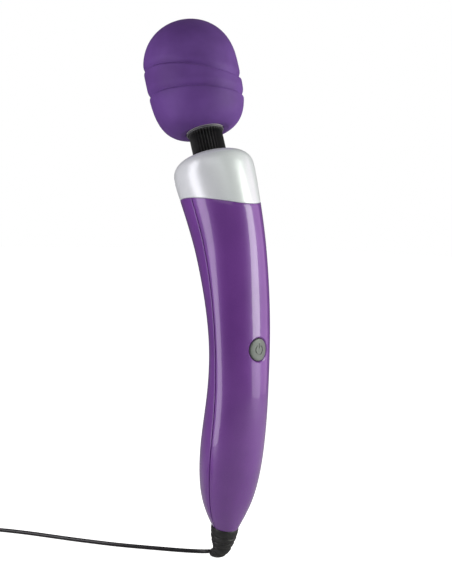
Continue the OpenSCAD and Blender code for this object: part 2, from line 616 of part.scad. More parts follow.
// ---- Eccentric weight on its shaft between two bearings
journal_r = 3;
top_journal_r = 2.5;
bearing_r = 8;
top_bearing_r = 6.5;
top_bearing_s = 191;
module ring_bearing(s, outer_r, bore_r, h) on_axis(s) difference() {
    cylinder(h = h, r = outer_r - 0.02);
    translate([0, 0, -1]) cylinder(h = h + 2, r = bore_r + running_gap);
    for (z = [-0.4, h - 0.6]) translate([0, 0, z]) difference() {
        cylinder(h = 1, r = outer_r - 1.2);
        translate([0, 0, -1]) cylinder(h = 3, r = bore_r + 1.3);
    }
}
module lower_bearing() color("silver") ring_bearing(bearing_s + 0.02, bearing_r, journal_r, 5);
module upper_bearing() color("silver")
    ring_bearing(top_bearing_s + 0.02, top_bearing_r, top_journal_r, 4);
module eccentric_shaft() color([0.7, 0.7, 0.72]) {
    on_axis(143.5) cylinder(h = 8, r = motor_shaft_r);
    on_axis(151) cylinder(h = 36, r = journal_r);
    on_axis(186.5) cylinder(h = 8.6, r = top_journal_r);
}
weight_s = 161;
weight_h = 22;
module eccentric_weight() color([0.55, 0.53, 0.5]) on_axis(weight_s) difference() {
    union() {
        cylinder(h = weight_h, r = 6.5);
        difference() {
            cylinder(h = weight_h, r = 16.5);
            translate([-20, -20, -1]) cube([40, 20, weight_h + 2]);
        }
    }
    translate([0, 0, -1]) cylinder(h = weight_h + 2, r = journal_r + 0.02);
    translate([0, 0, weight_h / 2]) rotate([90, 0, 0]) cylinder(h = 12, r = 1.5);
}
module weight_screw() color([0.2, 0.2, 0.2]) on_axis(weight_s + weight_h / 2)
    translate([0, -journal_r - 0.03, 0]) rotate([90, 0, 0]) difference() {
        cylinder(h = 3.6, r = 1.48);
        translate([0, 0, 2]) cylinder(h = 3, r = 0.7, $fn = 6);
    }

// ---- Strain relief: a bent rubber taper whose tip lies level with the surface below
relief_drop = 11.6;
relief_bend_r = 9.5;
relief_turn = 78;
tail_lean = lean(tail_s);
tail_y = mid_y(tail_s);
tail_z = mid_z(tail_s);
// Place and heading in the Y-Z plane at the distance w from the rim
function relief_at(w) = let (b = min(max(w - relief_drop, 0) / relief_bend_r * 180 / PI,
        relief_turn), h = -tail_lean + b, c = min(w, relief_drop))
    [tail_y + c * sin(-tail_lean) + relief_bend_r * (cos(-tail_lean) - cos(h)),
     tail_z - c * cos(-tail_lean) - relief_bend_r * (sin(h) - sin(-tail_lean)), h];
relief_rows = [[0.05, 8.3], [1, 8.45], [4.6, 8.15], [5, 7.6], [5.8, 7.6], [6.2, 7.95], [8.2, 7.4],
    [8.6, 6.8], [9.4, 6.75], [9.8, 7.05], [11.8, 6.4], [12.2, 5.8], [13, 5.7], [13.4, 5.95],
    [15.4, 5.2], [15.8, 4.7], [16.6, 4.55], [17, 4.75], [20, 3.6], [24.5, 2.5]];
module strain_relief() color([0.08, 0.08, 0.09]) {
    ring_stack([for (q = relief_rows) let (p = relief_at(q[0]))
        [for (i = [0 : 23]) let (a = 15 * i)
            [q[1] * cos(a), p[0] + q[1] * sin(a) * cos(p[2]), p[1] + q[1] * sin(a) * sin(p[2])]]],
        false);
    at(tail_s) translate([0, 0, -0.5]) cylinder(h = 3.6, r = relief_neck_r);
    at(tail_s) translate([0, 0, 2.6]) cylinder(h = 3, r = 6);
}

// ---- Free cord along the surface below, a held coil, and the plug-in adapter
tip = relief_at(24.5);
cord_z = -123.4;
cord_route = [[0, 22, -122], [-1, 26, -122.9], [-4, 31, cord_z], [-10, 38, cord_z],
    [-19, 50, cord_z], [-34, 71, cord_z], [-50, 98, cord_z], [-64, 124, cord_z],
    [-76, 143, cord_z], [-84, 150.5, cord_z], [-95, 154, cord_z], [-107, 152.3, cord_z],
    [-120, 149.2, cord_z]];
floor_z = cord_z - cord_d / 2;
module cord() color([0.05, 0.05, 0.05])
    tube(curve(concat([[0, tip[0], tip[1]]], cord_route), 3), cord_d, 8);
coil_x = -120;
coil_y = 131;
module cord_coil() color([0.05, 0.05, 0.05]) translate([coil_x, coil_y, floor_z])
    rotate_extrude() translate([coil_mid_r - coil_section / 2, 0])
        square([coil_section, coil_section]);
tie_gap = 0.3;
module coil_tie() color([0.1, 0.1, 0.1])
    translate([coil_x, coil_y - coil_mid_r, floor_z]) difference() {
        translate([-2.5, -coil_section / 2 - 1.1, 0])
            cube([5, coil_section + 2.2, coil_section + 1.1]);
        translate([-4, -coil_section / 2 - tie_gap, -1])
            cube([8, coil_section + 2 * tie_gap, coil_section + 1 + tie_gap]);
    }
adapter_x = -146;
adapter_y = 84;
adapter_w = 34;
adapter_h = 26;
adapter_d = 36;
adapter_wall = 2;
sleeve_z = cord_z + 3 * cord_d;
sleeve_h = 12;
sleeve_y = adapter_y + adapter_d / 2 + sleeve_h;
lead_route = [[-138.25, 131, sleeve_z], [-139, 125.5, sleeve_z], [-141.6, 120.4, sleeve_z],
    [-144.8, 117, sleeve_z], [adapter_x, sleeve_y, sleeve_z]];
// The adapter's own frame: +X runs to the lead, -X to the pins
module at_adapter() translate([adapter_x, adapter_y, 0]) rotate([0, 0, 90]) children();
module adapter_lead() color([0.05, 0.05, 0.05]) tube(curve(lead_route, 2), cord_d, 8);
module adapter_sleeve() color([0.08, 0.08, 0.09]) at_adapter()
    translate([adapter_d / 2 + sleeve_h, 0, sleeve_z]) rotate([0, -90, 0])
        cylinder(h = sleeve_h, r1 = 2, r2 = 3.6);
module adapter_half(low, high) translate([low, -adapter_w / 2, floor_z]) difference() {
    cube([high - low, adapter_w, adapter_h]);
    translate([low < 0 ? adapter_wall : -1, adapter_wall, adapter_wall])
        cube([high - low - adapter_wall + 1, adapter_w - 2 * adapter_wall,
            adapter_h - 2 * adapter_wall]);
}
module adapter_front() color([0.1, 0.1, 0.1]) at_adapter() difference() {
    adapter_half(-adapter_d / 2, 0);
    for (y = pin_y) translate([0, y, pin_z]) rotate([0, -90, 0])
        cylinder(h = 60, r = pin_root_r + 0.05);
}
module adapter_back() color([0.1, 0.1, 0.1]) at_adapter() difference() {
    adapter_half(0.02, adapter_d / 2);
    translate([adapter_d / 2 - 5, 0, sleeve_z]) rotate([0, 90, 0]) cylinder(h = 10, r = 1.5);
}
module adapter_core() color([0.6, 0.5, 0.2]) at_adapter()
    translate([-12, -12, floor_z + 5]) cube([24, 24, 16]);
pin_r = 2;
pin_y = [-9.5, 9.5];
pin_z = floor_z + adapter_h / 2;
pin_root_r = 1.7;
pin_root = 1.5;
pin_length = 17;
module adapter_pins() color([0.75, 0.75, 0.72]) at_adapter()
    for (y = pin_y) translate([-adapter_d / 2, y, pin_z]) {
        rotate([0, 90, 0]) translate([0, 0, -pin_root - 0.1]) cylinder(h = 5, r = pin_root_r);
        rotate([0, 90, 0]) translate([0, 0, -pin_root - pin_length])
            cylinder(h = pin_length, r = pin_r);
        translate([-pin_root - pin_length, 0, 0]) sphere(r = pin_r);
    }

front_shell();
rear_shell();
shell_screws();
screw_plugs();
collar();
power_button();
button_gasket();
switch_body();
switch_plunger();
control_board();
board_parts();
board_screws();
motor_can();
motor_magnets();
motor_armature();
motor_shaft();
motor_end_cap();
motor_mount();
motor_screws();
motor_lead_red();
motor_lead_black();
input_lead();
lead_clamp();
clamp_screws();
neck_seat();
seat_screws();
neck_spring();
neck_boot();
drive_spring();
drive_guide();
neck_ring();
head_base();
head_cup();
head_screws();
head_skin();
lower_bearing();
upper_bearing();
eccentric_shaft();
eccentric_weight();
weight_screw();
strain_relief();
cord();
cord_coil();
coil_tie();
adapter_lead();
adapter_sleeve();
adapter_front();
adapter_back();
adapter_core();
adapter_pins();
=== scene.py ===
import math
import bpy
import bmesh
import numpy as np
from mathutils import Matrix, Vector


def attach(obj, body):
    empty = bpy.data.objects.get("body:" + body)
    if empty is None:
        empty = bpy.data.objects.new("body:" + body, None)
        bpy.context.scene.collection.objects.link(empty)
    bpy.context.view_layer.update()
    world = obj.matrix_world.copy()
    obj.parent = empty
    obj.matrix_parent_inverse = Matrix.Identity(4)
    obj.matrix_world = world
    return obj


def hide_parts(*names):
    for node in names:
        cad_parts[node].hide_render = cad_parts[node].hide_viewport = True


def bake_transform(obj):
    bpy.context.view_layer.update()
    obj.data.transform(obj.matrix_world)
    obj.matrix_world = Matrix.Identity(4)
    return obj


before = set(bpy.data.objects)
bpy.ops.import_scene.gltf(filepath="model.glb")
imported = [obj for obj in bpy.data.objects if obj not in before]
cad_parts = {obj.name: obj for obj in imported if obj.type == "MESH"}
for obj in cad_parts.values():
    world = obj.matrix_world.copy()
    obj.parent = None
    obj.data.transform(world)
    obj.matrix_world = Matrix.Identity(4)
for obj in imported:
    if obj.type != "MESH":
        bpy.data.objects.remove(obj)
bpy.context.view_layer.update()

mm = 0.001
scene = bpy.context.scene
scene.view_settings.view_transform = "Standard"

# Camera: it stands off the grip at this bearing, then turns a little from its centre
view = {"distance": 559.4, "bearing": -44.43, "height": 8.06, "turn": 0.91, "nod": -4.07,
        "roll": 1.33, "lens": 58.12}


def bearingVector(bearing, height):
    a, e = math.radians(bearing), math.radians(height)
    return Vector((math.sin(a) * math.cos(e), -math.cos(a) * math.cos(e), math.sin(e)))


def addCamera():
    away = bearingVector(view["bearing"] + view["turn"], view["height"] + view["nod"])
    a = math.radians(view["bearing"] + view["turn"])
    right = Vector((math.cos(a), math.sin(a), 0))
    up = away.cross(right)
    r = math.radians(view["roll"])
    side = right * math.cos(r) + up * math.sin(r)
    top = up * math.cos(r) - right * math.sin(r)
    bpy.ops.object.camera_add()
    camera = bpy.context.object
    camera.name = "mainCamera"
    camera.data.lens = view["lens"]
    camera.data.sensor_width = 36
    camera.data.clip_start = 0.01
    turned = camera.matrix_world.to_3x3()
    for row in range(3):
        turned[row] = (side[row], top[row], away[row])
    camera.matrix_world = turned.to_4x4()
    camera.location = bearingVector(view["bearing"], view["height"]) * view["distance"] * mm
    scene.camera = camera


addCamera()
print("camera placed")


# Centre line of the handle: an arc below the grip, a tighter one above, a straight neck
line = {"lowerRadius": 600, "upperRadius": 228, "lean": math.radians(20)}
bendLength = line["upperRadius"] * line["lean"]


def leanAt(s):
    return s / line["lowerRadius"] if s < 0 else min(s, bendLength) / line["upperRadius"]


def onLine(x, n, s):  # x across, n behind the centre line, s along it, all in millimetres
    radius = line["lowerRadius"] if s < 0 else line["upperRadius"]
    t, rest = leanAt(s), max(s - bendLength, 0)
    y = radius * (1 - math.cos(t)) + rest * math.sin(t) + n * math.cos(t)
    z = radius * math.sin(t) + rest * math.cos(t) - n * math.sin(t)
    return Vector((x, y, z)) * mm


def bounce(s, low, high):
    return min(max((s - low) / (high - low), 0), 1)


# ---- small tools
def clearSelection():
    if bpy.context.mode != "OBJECT":
        bpy.ops.object.mode_set(mode="OBJECT")
    bpy.ops.object.select_all(action="DESELECT")


def pick(piece):
    clearSelection()
    bpy.context.view_layer.objects.active = piece
    piece.select_set(True)


def modify(piece, kind, **settings):
    pick(piece)
    bpy.ops.object.modifier_add(type=kind)
    modifier = piece.modifiers[-1]
    for key, value in settings.items():
        setattr(modifier, key, value)
    bpy.ops.object.modifier_apply(modifier=modifier.name)


def smooth(piece, degrees=35):
    pick(piece)
    bpy.ops.object.shade_smooth_by_angle(angle=math.radians(degrees))


def settle(piece):  # puts the piece's place into its mesh
    pick(piece)
    bpy.ops.object.transform_apply(location=True, rotation=True, scale=True)


def placeSelected(piece, before, after):
    mesh = bmesh.from_edit_mesh(piece.data)
    chosen = [v for v in mesh.verts if v.select]
    here = np.array([v.co for v in chosen])
    old = np.array(before)
    order = ((here[:, None, :] - old[None, :, :]) ** 2).sum(2).argmin(1)
    for v, i in zip(chosen, order):
        v.co = after[i]
    bmesh.update_edit_mesh(piece.data)


def selectRing(piece, ring):
    bpy.ops.mesh.select_all(action="DESELECT")
    bpy.ops.mesh.select_mode(type="VERT")
    mesh = bmesh.from_edit_mesh(piece.data)
    spots = np.array(ring)
    for v in mesh.verts:
        v.select = bool(((spots - np.array(v.co)) ** 2).sum(1).min() < 1e-11)
    mesh.select_flush(True)
    bmesh.update_edit_mesh(piece.data)
    bpy.ops.mesh.select_mode(type="EDGE")


# Draws the first ring, then extrudes its edges from ring to ring
def loft(name, rings, ends=("open", "open"), openRing=False):
    clearSelection()
    bpy.ops.mesh.primitive_circle_add(vertices=len(rings[0]), radius=0.01)
    piece = bpy.context.object
    piece.name = piece.data.name = name
    for v, spot in zip(piece.data.vertices, rings[0]):
        v.co = spot
    bpy.ops.object.mode_set(mode="EDIT")
    bpy.ops.mesh.select_mode(type="EDGE")
    if openRing:
        mesh = bmesh.from_edit_mesh(piece.data)
        mesh.edges.ensure_lookup_table()
        last = len(rings[0]) - 1
        for edge in mesh.edges:
            edge.select = {v.index for v in edge.verts} == {0, last}
        bmesh.update_edit_mesh(piece.data)
        bpy.ops.mesh.delete(type="EDGE")
    bpy.ops.mesh.select_all(action="SELECT")
    for before, after in zip(rings, rings[1:]):
        bpy.ops.mesh.extrude_region_move()
        placeSelected(piece, before, after)
    for ring, end in zip((rings[-1], rings[0]), (ends[1], ends[0])):
        if end == "open":
            continue
        selectRing(piece, ring)
        if end == "pole":
            bpy.ops.mesh.merge(type="CENTER")
        else:
            bpy.ops.mesh.edge_face_add()
    bpy.ops.mesh.select_all(action="SELECT")
    bpy.ops.mesh.normals_make_consistent(inside=False)
    bpy.ops.object.mode_set(mode="OBJECT")
    return piece


def sealRing(piece, first, last):  # closes a wall whose first and last rings lie apart
    pick(piece)
    bpy.ops.object.mode_set(mode="EDIT")
    selectRing(piece, list(first) + list(last))
    bpy.ops.mesh.bridge_edge_loops()
    bpy.ops.mesh.select_all(action="SELECT")
    bpy.ops.mesh.normals_make_consistent(inside=False)
    bpy.ops.object.mode_set(mode="OBJECT")


def roundRing(radius, s, count, x=0, n=0):  # a circle across the centre line
    return [onLine(x + radius * math.cos(2 * math.pi * i / count),
                   n - radius * math.sin(2 * math.pi * i / count), s) for i in range(count)]


# ---- shader tools
class Wire:
    def __init__(self, paint, socket):
        self.paint, self.socket = paint, socket

    def maths(self, operation, first, second):
        return self.paint.add("ShaderNodeMath", {"operation": operation}, {0: first, 1: second})

    def __add__(self, other):
        return self.maths("ADD", self, other)

    def __mul__(self, other):
        return self.maths("MULTIPLY", self, other)

    __radd__ = __add__
    __rmul__ = __mul__


class Paint:
    def __init__(self, name, **constants):
        self.material = bpy.data.materials.new(name)
        self.material.use_nodes = True
        self.tree = self.material.node_tree
        self.shader = self.tree.nodes["Principled BSDF"]
        self.finish(**constants)

    def add(self, kind, settings=None, inputs=None, out=0):
        node = self.tree.nodes.new(kind)
        for key, value in (settings or {}).items():
            setattr(node, key, value)
        for key, value in (inputs or {}).items():
            if isinstance(value, Wire):
                self.tree.links.new(value.socket, node.inputs[key])
            else:
                node.inputs[key].default_value = value
        return Wire(self, node.outputs[out])

    def place(self):
        return self.add("ShaderNodeTexCoord", out="Object")

    def stretched(self, scale, turn=(0, 0, 0)):
        return self.add("ShaderNodeMapping", {}, {"Vector": self.place(), "Scale": scale,
                                                  "Rotation": turn})

    def noise(self, scale, detail=3, rough=0.5, where=None):
        return self.add("ShaderNodeTexNoise", {}, {"Vector": where or self.place(),
            "Scale": scale, "Detail": detail, "Roughness": rough})

    def ranged(self, value, low, high, toLow, toHigh):
        return self.add("ShaderNodeMapRange", {}, {"Value": value, "From Min": low,
            "From Max": high, "To Min": toLow, "To Max": toHigh})

    def blend(self, share, first, second):
        return self.add("ShaderNodeMix", {"data_type": "RGBA"}, {0: share, 6: first, 7: second},
                        out=2)

    def bump(self, height, strength, distance):
        return self.add("ShaderNodeBump", {}, {"Height": height, "Strength": strength,
                                               "Distance": distance})

    def finish(self, **values):
        for key, value in values.items():
            name = {"baseColor": "Base Color", "coat": "Coat Weight", "coatRoughness":
                    "Coat Roughness", "coatIor": "Coat IOR", "ior": "IOR",
                    "specular": "Specular IOR Level", "sheen": "Sheen Weight",
                    "sheenRoughness": "Sheen Roughness", "sheenTint": "Sheen Tint",
                    "subsurface": "Subsurface Weight"}.get(key, key.capitalize())
            if isinstance(value, Wire):
                self.tree.links.new(value.socket, self.shader.inputs[name])
            else:
                self.shader.inputs[name].default_value = value


def colour(red, green, blue):
    return (red, green, blue, 1)


# Glossy moulded plastic with fine pearl in the colour under a clear coat
shellLook = {"deep": colour(0.170, 0.043, 0.30), "light": colour(0.225, 0.062, 0.385),
             "pearlSize": 5200, "cloudSize": 35, "roughness": 0.38, "coatRoughness": 0.035}


def shellPurple():
    paint = Paint("shellPurple", coat=1.0, coatRoughness=shellLook["coatRoughness"],
                  coatIor=1.42, metallic=0.08)
    pearl = paint.noise(shellLook["pearlSize"], 1)
    cloud = paint.noise(shellLook["cloudSize"], 2)
    share = paint.ranged(pearl * 0.5 + cloud * 0.5, 0.35, 0.65, 0, 1)
    scuff = paint.noise(90, 5, 0.7, paint.stretched((9, 9, 1)))
    rough = paint.ranged(scuff, 0.3, 0.8, shellLook["roughness"] - 0.04,
                         shellLook["roughness"] + 0.06)
    paint.finish(baseColor=paint.blend(share, shellLook["deep"], shellLook["light"]),
                 roughness=rough, normal=paint.bump(pearl, 0.06, 0.00004))
    return paint.material


collarLook = {"shade": colour(0.84, 0.88, 0.91), "light": colour(0.92, 0.95, 0.97),
              "pearlSize": 3800, "roughness": 0.3}


def collarPearl():
    paint = Paint("collarPearl", coat=0.35, coatRoughness=0.28, metallic=0.12)
    pearl = paint.noise(collarLook["pearlSize"], 2)
    cloud = paint.noise(45, 2)
    share = paint.ranged(pearl * 0.4 + cloud * 0.6, 0.3, 0.7, 0, 1)
    paint.finish(baseColor=paint.blend(share, collarLook["shade"], collarLook["light"]),
                 roughness=paint.ranged(pearl, 0.3, 0.7, collarLook["roughness"] - 0.04,
                                        collarLook["roughness"] + 0.05),
                 normal=paint.bump(pearl, 0.08, 0.00004))
    return paint.material


siliconeLook = {"deep": colour(0.125, 0.048, 0.25), "light": colour(0.155, 0.062, 0.31),
                "grain": 2600, "roughness": 0.62}


def headSilicone():
    paint = Paint("headSilicone", sheen=0.09, sheenRoughness=0.45,
                  sheenTint=colour(0.7, 0.5, 0.9), specular=0.32)
    grain = paint.noise(siliconeLook["grain"], 4, 0.6)
    cloud = paint.noise(55, 3)
    dust = paint.ranged(paint.noise(900, 6, 0.8), 0.62, 0.8, 0, 0.25)
    base = paint.blend(paint.ranged(cloud, 0.35, 0.65, 0, 1), siliconeLook["deep"],
                       siliconeLook["light"])
    paint.finish(baseColor=paint.blend(dust, base, colour(0.22, 0.14, 0.33)),
                 roughness=paint.ranged(grain, 0.3, 0.7, siliconeLook["roughness"] - 0.05,
                                        siliconeLook["roughness"] + 0.07),
                 normal=paint.bump(grain, 0.22, 0.00006))
    return paint.material


rubberLook = {"dark": colour(0.012, 0.012, 0.012), "worn": colour(0.04, 0.04, 0.04),
              "roughness": 0.48}


def blackRubber():
    paint = Paint("blackRubber", specular=0.5)
    grain = paint.noise(2400, 3)
    worn = paint.ranged(paint.noise(260, 5, 0.7), 0.5, 0.75, 0, 0.8)
    paint.finish(baseColor=paint.blend(worn, rubberLook["dark"], rubberLook["worn"]),
                 roughness=paint.ranged(grain, 0.3, 0.7, rubberLook["roughness"] - 0.06,
                                        rubberLook["roughness"] + 0.1),
                 normal=paint.bump(grain, 0.25, 0.00006))
    return paint.material


def cordVinyl():
    paint = Paint("cordVinyl", specular=0.5, coat=0.3, coatRoughness=0.25)
    grain = paint.noise(1800, 3)
    handled = paint.ranged(paint.noise(120, 4), 0.45, 0.7, 0, 0.7)
    paint.finish(baseColor=paint.blend(handled, colour(0.007, 0.007, 0.008),
                                       colour(0.016, 0.016, 0.017)),
                 roughness=paint.ranged(grain, 0.3, 0.7, 0.3, 0.42),
                 normal=paint.bump(grain, 0.15, 0.00005))
    return paint.material


def buttonGrey():
    paint = Paint("buttonGrey", specular=0.5, coat=0.15, coatRoughness=0.3)
    grain = paint.noise(3200, 3)
    cloud = paint.noise(300, 3)
    paint.finish(baseColor=paint.blend(cloud, colour(0.145, 0.165, 0.148),
                                       colour(0.185, 0.205, 0.188)),
                 roughness=paint.ranged(grain, 0.3, 0.7, 0.42, 0.52),
                 normal=paint.bump(grain, 0.2, 0.00004))
    return paint.material


def mouldedPlastic(name, low, high, roughness):
    paint = Paint(name, specular=0.5)
    grain = paint.noise(2200, 3)
    cloud = paint.noise(80, 3)
    paint.finish(baseColor=paint.blend(cloud, low, high),
                 roughness=paint.ranged(grain, 0.3, 0.7, roughness - 0.06, roughness + 0.06),
                 normal=paint.bump(grain, 0.15, 0.00005))
    return paint.material


def turnedMetal(name, low, high, roughness, stretch=(1, 1, 14)):
    paint = Paint(name, metallic=1.0)
    lines = paint.noise(900, 4, 0.7, paint.stretched(stretch))
    stain = paint.noise(70, 4)
    paint.finish(baseColor=paint.blend(stain, low, high),
                 roughness=paint.ranged(lines, 0.3, 0.7, roughness - 0.07, roughness + 0.1),
                 normal=paint.bump(lines, 0.12, 0.00003))
    return paint.material


def circuitBoard():
    paint = Paint("circuitBoard", coat=0.5, coatRoughness=0.2)
    tracks = paint.add("ShaderNodeTexBrick", {"offset": 0.35}, {"Vector": paint.stretched(
        (1, 1, 1), (math.pi / 2, 0, 0)), "Scale": 260, "Mortar Size": 0.035,
        "Color1": colour(0.015, 0.10, 0.04), "Color2": colour(0.02, 0.13, 0.05),
        "Mortar": colour(0.05, 0.22, 0.08)})
    grain = paint.noise(1500, 3)
    paint.finish(baseColor=tracks, roughness=paint.ranged(grain, 0.3, 0.7, 0.35, 0.5),
                 normal=paint.bump(grain, 0.1, 0.00004))
    return paint.material


def woundCopper():
    paint = Paint("woundCopper", metallic=0.8)
    turns = paint.add("ShaderNodeTexWave", {"bands_direction": "Z"}, {
        "Vector": paint.place(), "Scale": 700, "Distortion": 0.6, "Detail": 2})
    paint.finish(baseColor=paint.blend(turns, colour(0.35, 0.12, 0.04), colour(0.75, 0.33, 0.14)),
                 roughness=paint.ranged(turns, 0, 1, 0.45, 0.28),
                 normal=paint.bump(turns, 0.5, 0.0002))
    return paint.material


looks = {
    "shellPurple": shellPurple(),
    "collarPearl": collarPearl(),
    "headSilicone": headSilicone(),
    "blackRubber": blackRubber(),
    "cordVinyl": cordVinyl(),
    "buttonGrey": buttonGrey(),
    "blackPlastic": mouldedPlastic("blackPlastic", colour(0.012, 0.012, 0.013),
                                   colour(0.022, 0.022, 0.023), 0.42),
    "whitePlastic": mouldedPlastic("whitePlastic", colour(0.62, 0.61, 0.57),
                                   colour(0.72, 0.71, 0.68), 0.45),
    "greyPlastic": mouldedPlastic("greyPlastic", colour(0.11, 0.11, 0.12),
                                  colour(0.16, 0.16, 0.17), 0.4),
    "redWire": mouldedPlastic("redWire", colour(0.35, 0.01, 0.01), colour(0.5, 0.02, 0.015), 0.4),
    "steel": turnedMetal("steel", colour(0.48, 0.48, 0.49), colour(0.62, 0.62, 0.62), 0.3),
    "zinc": turnedMetal("zinc", colour(0.30, 0.29, 0.27), colour(0.42, 0.41, 0.39), 0.5,
                        (1, 1, 1)),
    "plated": turnedMetal("plated", colour(0.70, 0.69, 0.66), colour(0.80, 0.79, 0.76), 0.2),
    "circuitBoard": circuitBoard(),
    "woundCopper": woundCopper(),
}
print("materials made")


def dress(piece, look, body, slot, *nodes):
    piece.data.materials.clear()
    piece.data.materials.append(looks[look])
    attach(piece, body)
    if nodes:
        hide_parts(*nodes)


# ---- Cord: from the strain relief's tip over the surface to a tied coil and the adapter
cordSet = {"diameter": 2.5, "level": -123.4, "coilX": -120, "coilY": 131, "coilRadius": 14.5,
           "layers": 4, "turnsAcross": 4, "knotsPerTurn": 20, "length": 1.72}
cordRoute = [(0, 22, -122), (-1, 26, -122.9), (-4, 31, -123.4), (-10, 38, -123.4),
             (-19, 50, -123.4), (-34, 71, -123.4), (-50, 98, -123.4), (-64, 124, -123.4),
             (-76, 143, -123.4), (-84, 150.5, -123.4), (-95, 154, -123.4),
             (-107, 152.3, -123.4), (-120, 149.2, -123.4)]
leadRoute = [(-138.25, 131), (-139, 125.5), (-141.6, 120.4), (-144.8, 117), (-146, 114),
             (-146, 112)]
relief = {"drop": 11.6, "bendRadius": 9.5, "turn": math.radians(78), "length": 24.5,
          "tail": -103, "sides": 40}


def reliefAt(w):  # place and heading in the Y-Z plane at the distance w from the rim
    t = -leanAt(relief["tail"])
    b = min(max(w - relief["drop"], 0) / relief["bendRadius"], relief["turn"])
    c = min(w, relief["drop"])
    start = onLine(0, 0, relief["tail"]) / mm
    y = start.y + c * math.sin(t) + relief["bendRadius"] * (math.cos(t) - math.cos(t + b))
    z = start.z - c * math.cos(t) - relief["bendRadius"] * (math.sin(t + b) - math.sin(t))
    return y, z, t + b


def throughPoints(points, steps):  # smooth curve through listed points
    spots = [np.array(p, float) for p in points]
    out = []
    for i in range(len(spots) - 1):
        a, b = spots[max(i - 1, 0)], spots[i]
        c, d = spots[i + 1], spots[min(i + 2, len(spots) - 1)]
        for k in range(steps):
            t = k / steps
            out.append(0.5 * (2 * b + (c - a) * t + (2 * a - 5 * b + 4 * c - d) * t ** 2
                              + (3 * b - a - 3 * c + d) * t ** 3))
    return out + [spots[-1]]


def coilTurns():
    d, points, slots = cordSet["diameter"], [], []
    across = cordSet["turnsAcross"]
    for layer in range(cordSet["layers"]):
        columns = range(across - 1, -1, -1) if layer % 2 == 0 else range(across)
        slots += [(column, layer) for column in columns]
    begin, leave = math.radians(90), math.radians(180)
    total = len(slots) * 2 * math.pi + leave - begin
    steps = len(slots) * cordSet["knotsPerTurn"]
    for i in range(1, steps + 1):
        turned = total * i / (steps + 1)
        turn = turned / (2 * math.pi)
        k = min(int(turn), len(slots) - 1)
        part = bounce(turn - k, 0.75, 1.0)
        share = part * part * (3 - 2 * part)
        here, after = slots[k], slots[min(k + 1, len(slots) - 1)]
        column = here[0] + (after[0] - here[0]) * share
        layer = here[1] + (after[1] - here[1]) * share
        radius = cordSet["coilRadius"] + (column - (across - 1) / 2) * d
        angle = begin + turned
        points.append((cordSet["coilX"] + radius * math.cos(angle),
                       cordSet["coilY"] + radius * math.sin(angle),
                       cordSet["level"] + layer * d))
    return points


def addCord():
    y, z = reliefAt(relief["length"])[:2]
    first = (0, y - 0.4, z)  # a little inside the rubber's tip
    top = cordSet["level"] + (cordSet["layers"] - 1) * cordSet["diameter"]
    points = throughPoints([first, (0, y, z)] + cordRoute, 2)[:-1]
    points += coilTurns()
    points += throughPoints([(p[0], p[1], top) for p in leadRoute], 1)
    clearSelection()
    bpy.ops.curve.primitive_bezier_curve_add()
    cord = bpy.context.object
    cord.name = cord.data.name = "cordCurve"
    cord.data.splines.clear()
    spline = cord.data.splines.new("BEZIER")
    spline.bezier_points.add(len(points) - 1)
    for knot, spot in zip(spline.bezier_points, points):
        knot.co = [value * mm for value in spot]
        knot.handle_left_type = knot.handle_right_type = "AUTO"
    spline.resolution_u = 3
    cord.data.bevel_depth = cordSet["diameter"] / 2 * mm
    cord.data.bevel_resolution = 3
    cord.data.use_fill_caps = True
    steps = np.diff(np.array([tuple(p) for p in points]), axis=0)
    print("cord length", round(float(np.linalg.norm(steps, axis=1).sum()) / 1000, 3))
    dress(cord, "cordVinyl", "handle", "black_cord", "cord", "cord_coil", "adapter_lead")
    return cord


cord = addCord()
print("cord laid")


# ---- Handle: half-width, front and rear half-depths at stations up the centre line
handle = {"tail": -103, "stations": [
    (-103, 8.2, 8.2, 8.2), (-96, 12, 9.9, 12.9), (-87, 15.1, 12.5, 17.8),
    (-74, 17.8, 14.6, 20.7), (-52, 19.2, 16.2, 21.6), (-26, 18.7, 17.2, 19),
    (0, 19.3, 16.5, 16.2), (28, 20.3, 16.9, 17.4), (56, 20.9, 19.8, 20.3),
    (84, 21.9, 23.6, 22.4), (104, 23.8, 24.6, 24), (111.5, 24.6, 24.6, 24.4),
    (125, 25, 24.6, 24.6)], "around": 48, "wall": 2.2, "seamGap": 0.36,  # from the middle plane
    "edgeRound": 0.16}


def curvatures(knots, values):  # second derivatives of the curve through the stations
    count = len(knots)
    system, wanted = np.eye(count), np.zeros((count, values.shape[1]))
    for i in range(1, count - 1):
        before, after = knots[i] - knots[i - 1], knots[i + 1] - knots[i]
        system[i, i - 1:i + 2] = before, 2 * (before + after), after
        wanted[i] = 6 * ((values[i + 1] - values[i]) / after
                         - (values[i] - values[i - 1]) / before)
    return np.linalg.solve(system, wanted)


knots = np.array([row[0] for row in handle["stations"]], float)
sizes = np.array([row[1:] for row in handle["stations"]], float)
bends = curvatures(knots, sizes)


def halfSizes(s):
    i = int(np.clip(np.searchsorted(knots, s) - 1, 0, len(knots) - 2))
    h = knots[i + 1] - knots[i]
    a, b = (knots[i + 1] - s) / h, (s - knots[i]) / h
    return (a * sizes[i] + b * sizes[i + 1]
            + ((a ** 3 - a) * bends[i] + (b ** 3 - b) * bends[i + 1]) * h * h / 6)


def rimPoint(s, angle, inset=0):
    half, front, rear = halfSizes(s)
    depth = front if math.sin(angle) > 0 else rear
    return onLine((half - inset) * math.cos(angle), -(depth - inset) * math.sin(angle), s)


def edgeRise(angle):  # the wave of the shells' upper edge, which the collar follows
    return 1.4 - 8.2 * math.sin(angle) + 1.6 * math.cos(2 * angle)


collarSet = {"edge": 94, "middle": 111.5, "height": 13, "power": 3.2, "holeRadius": 11,
             "around": 96}


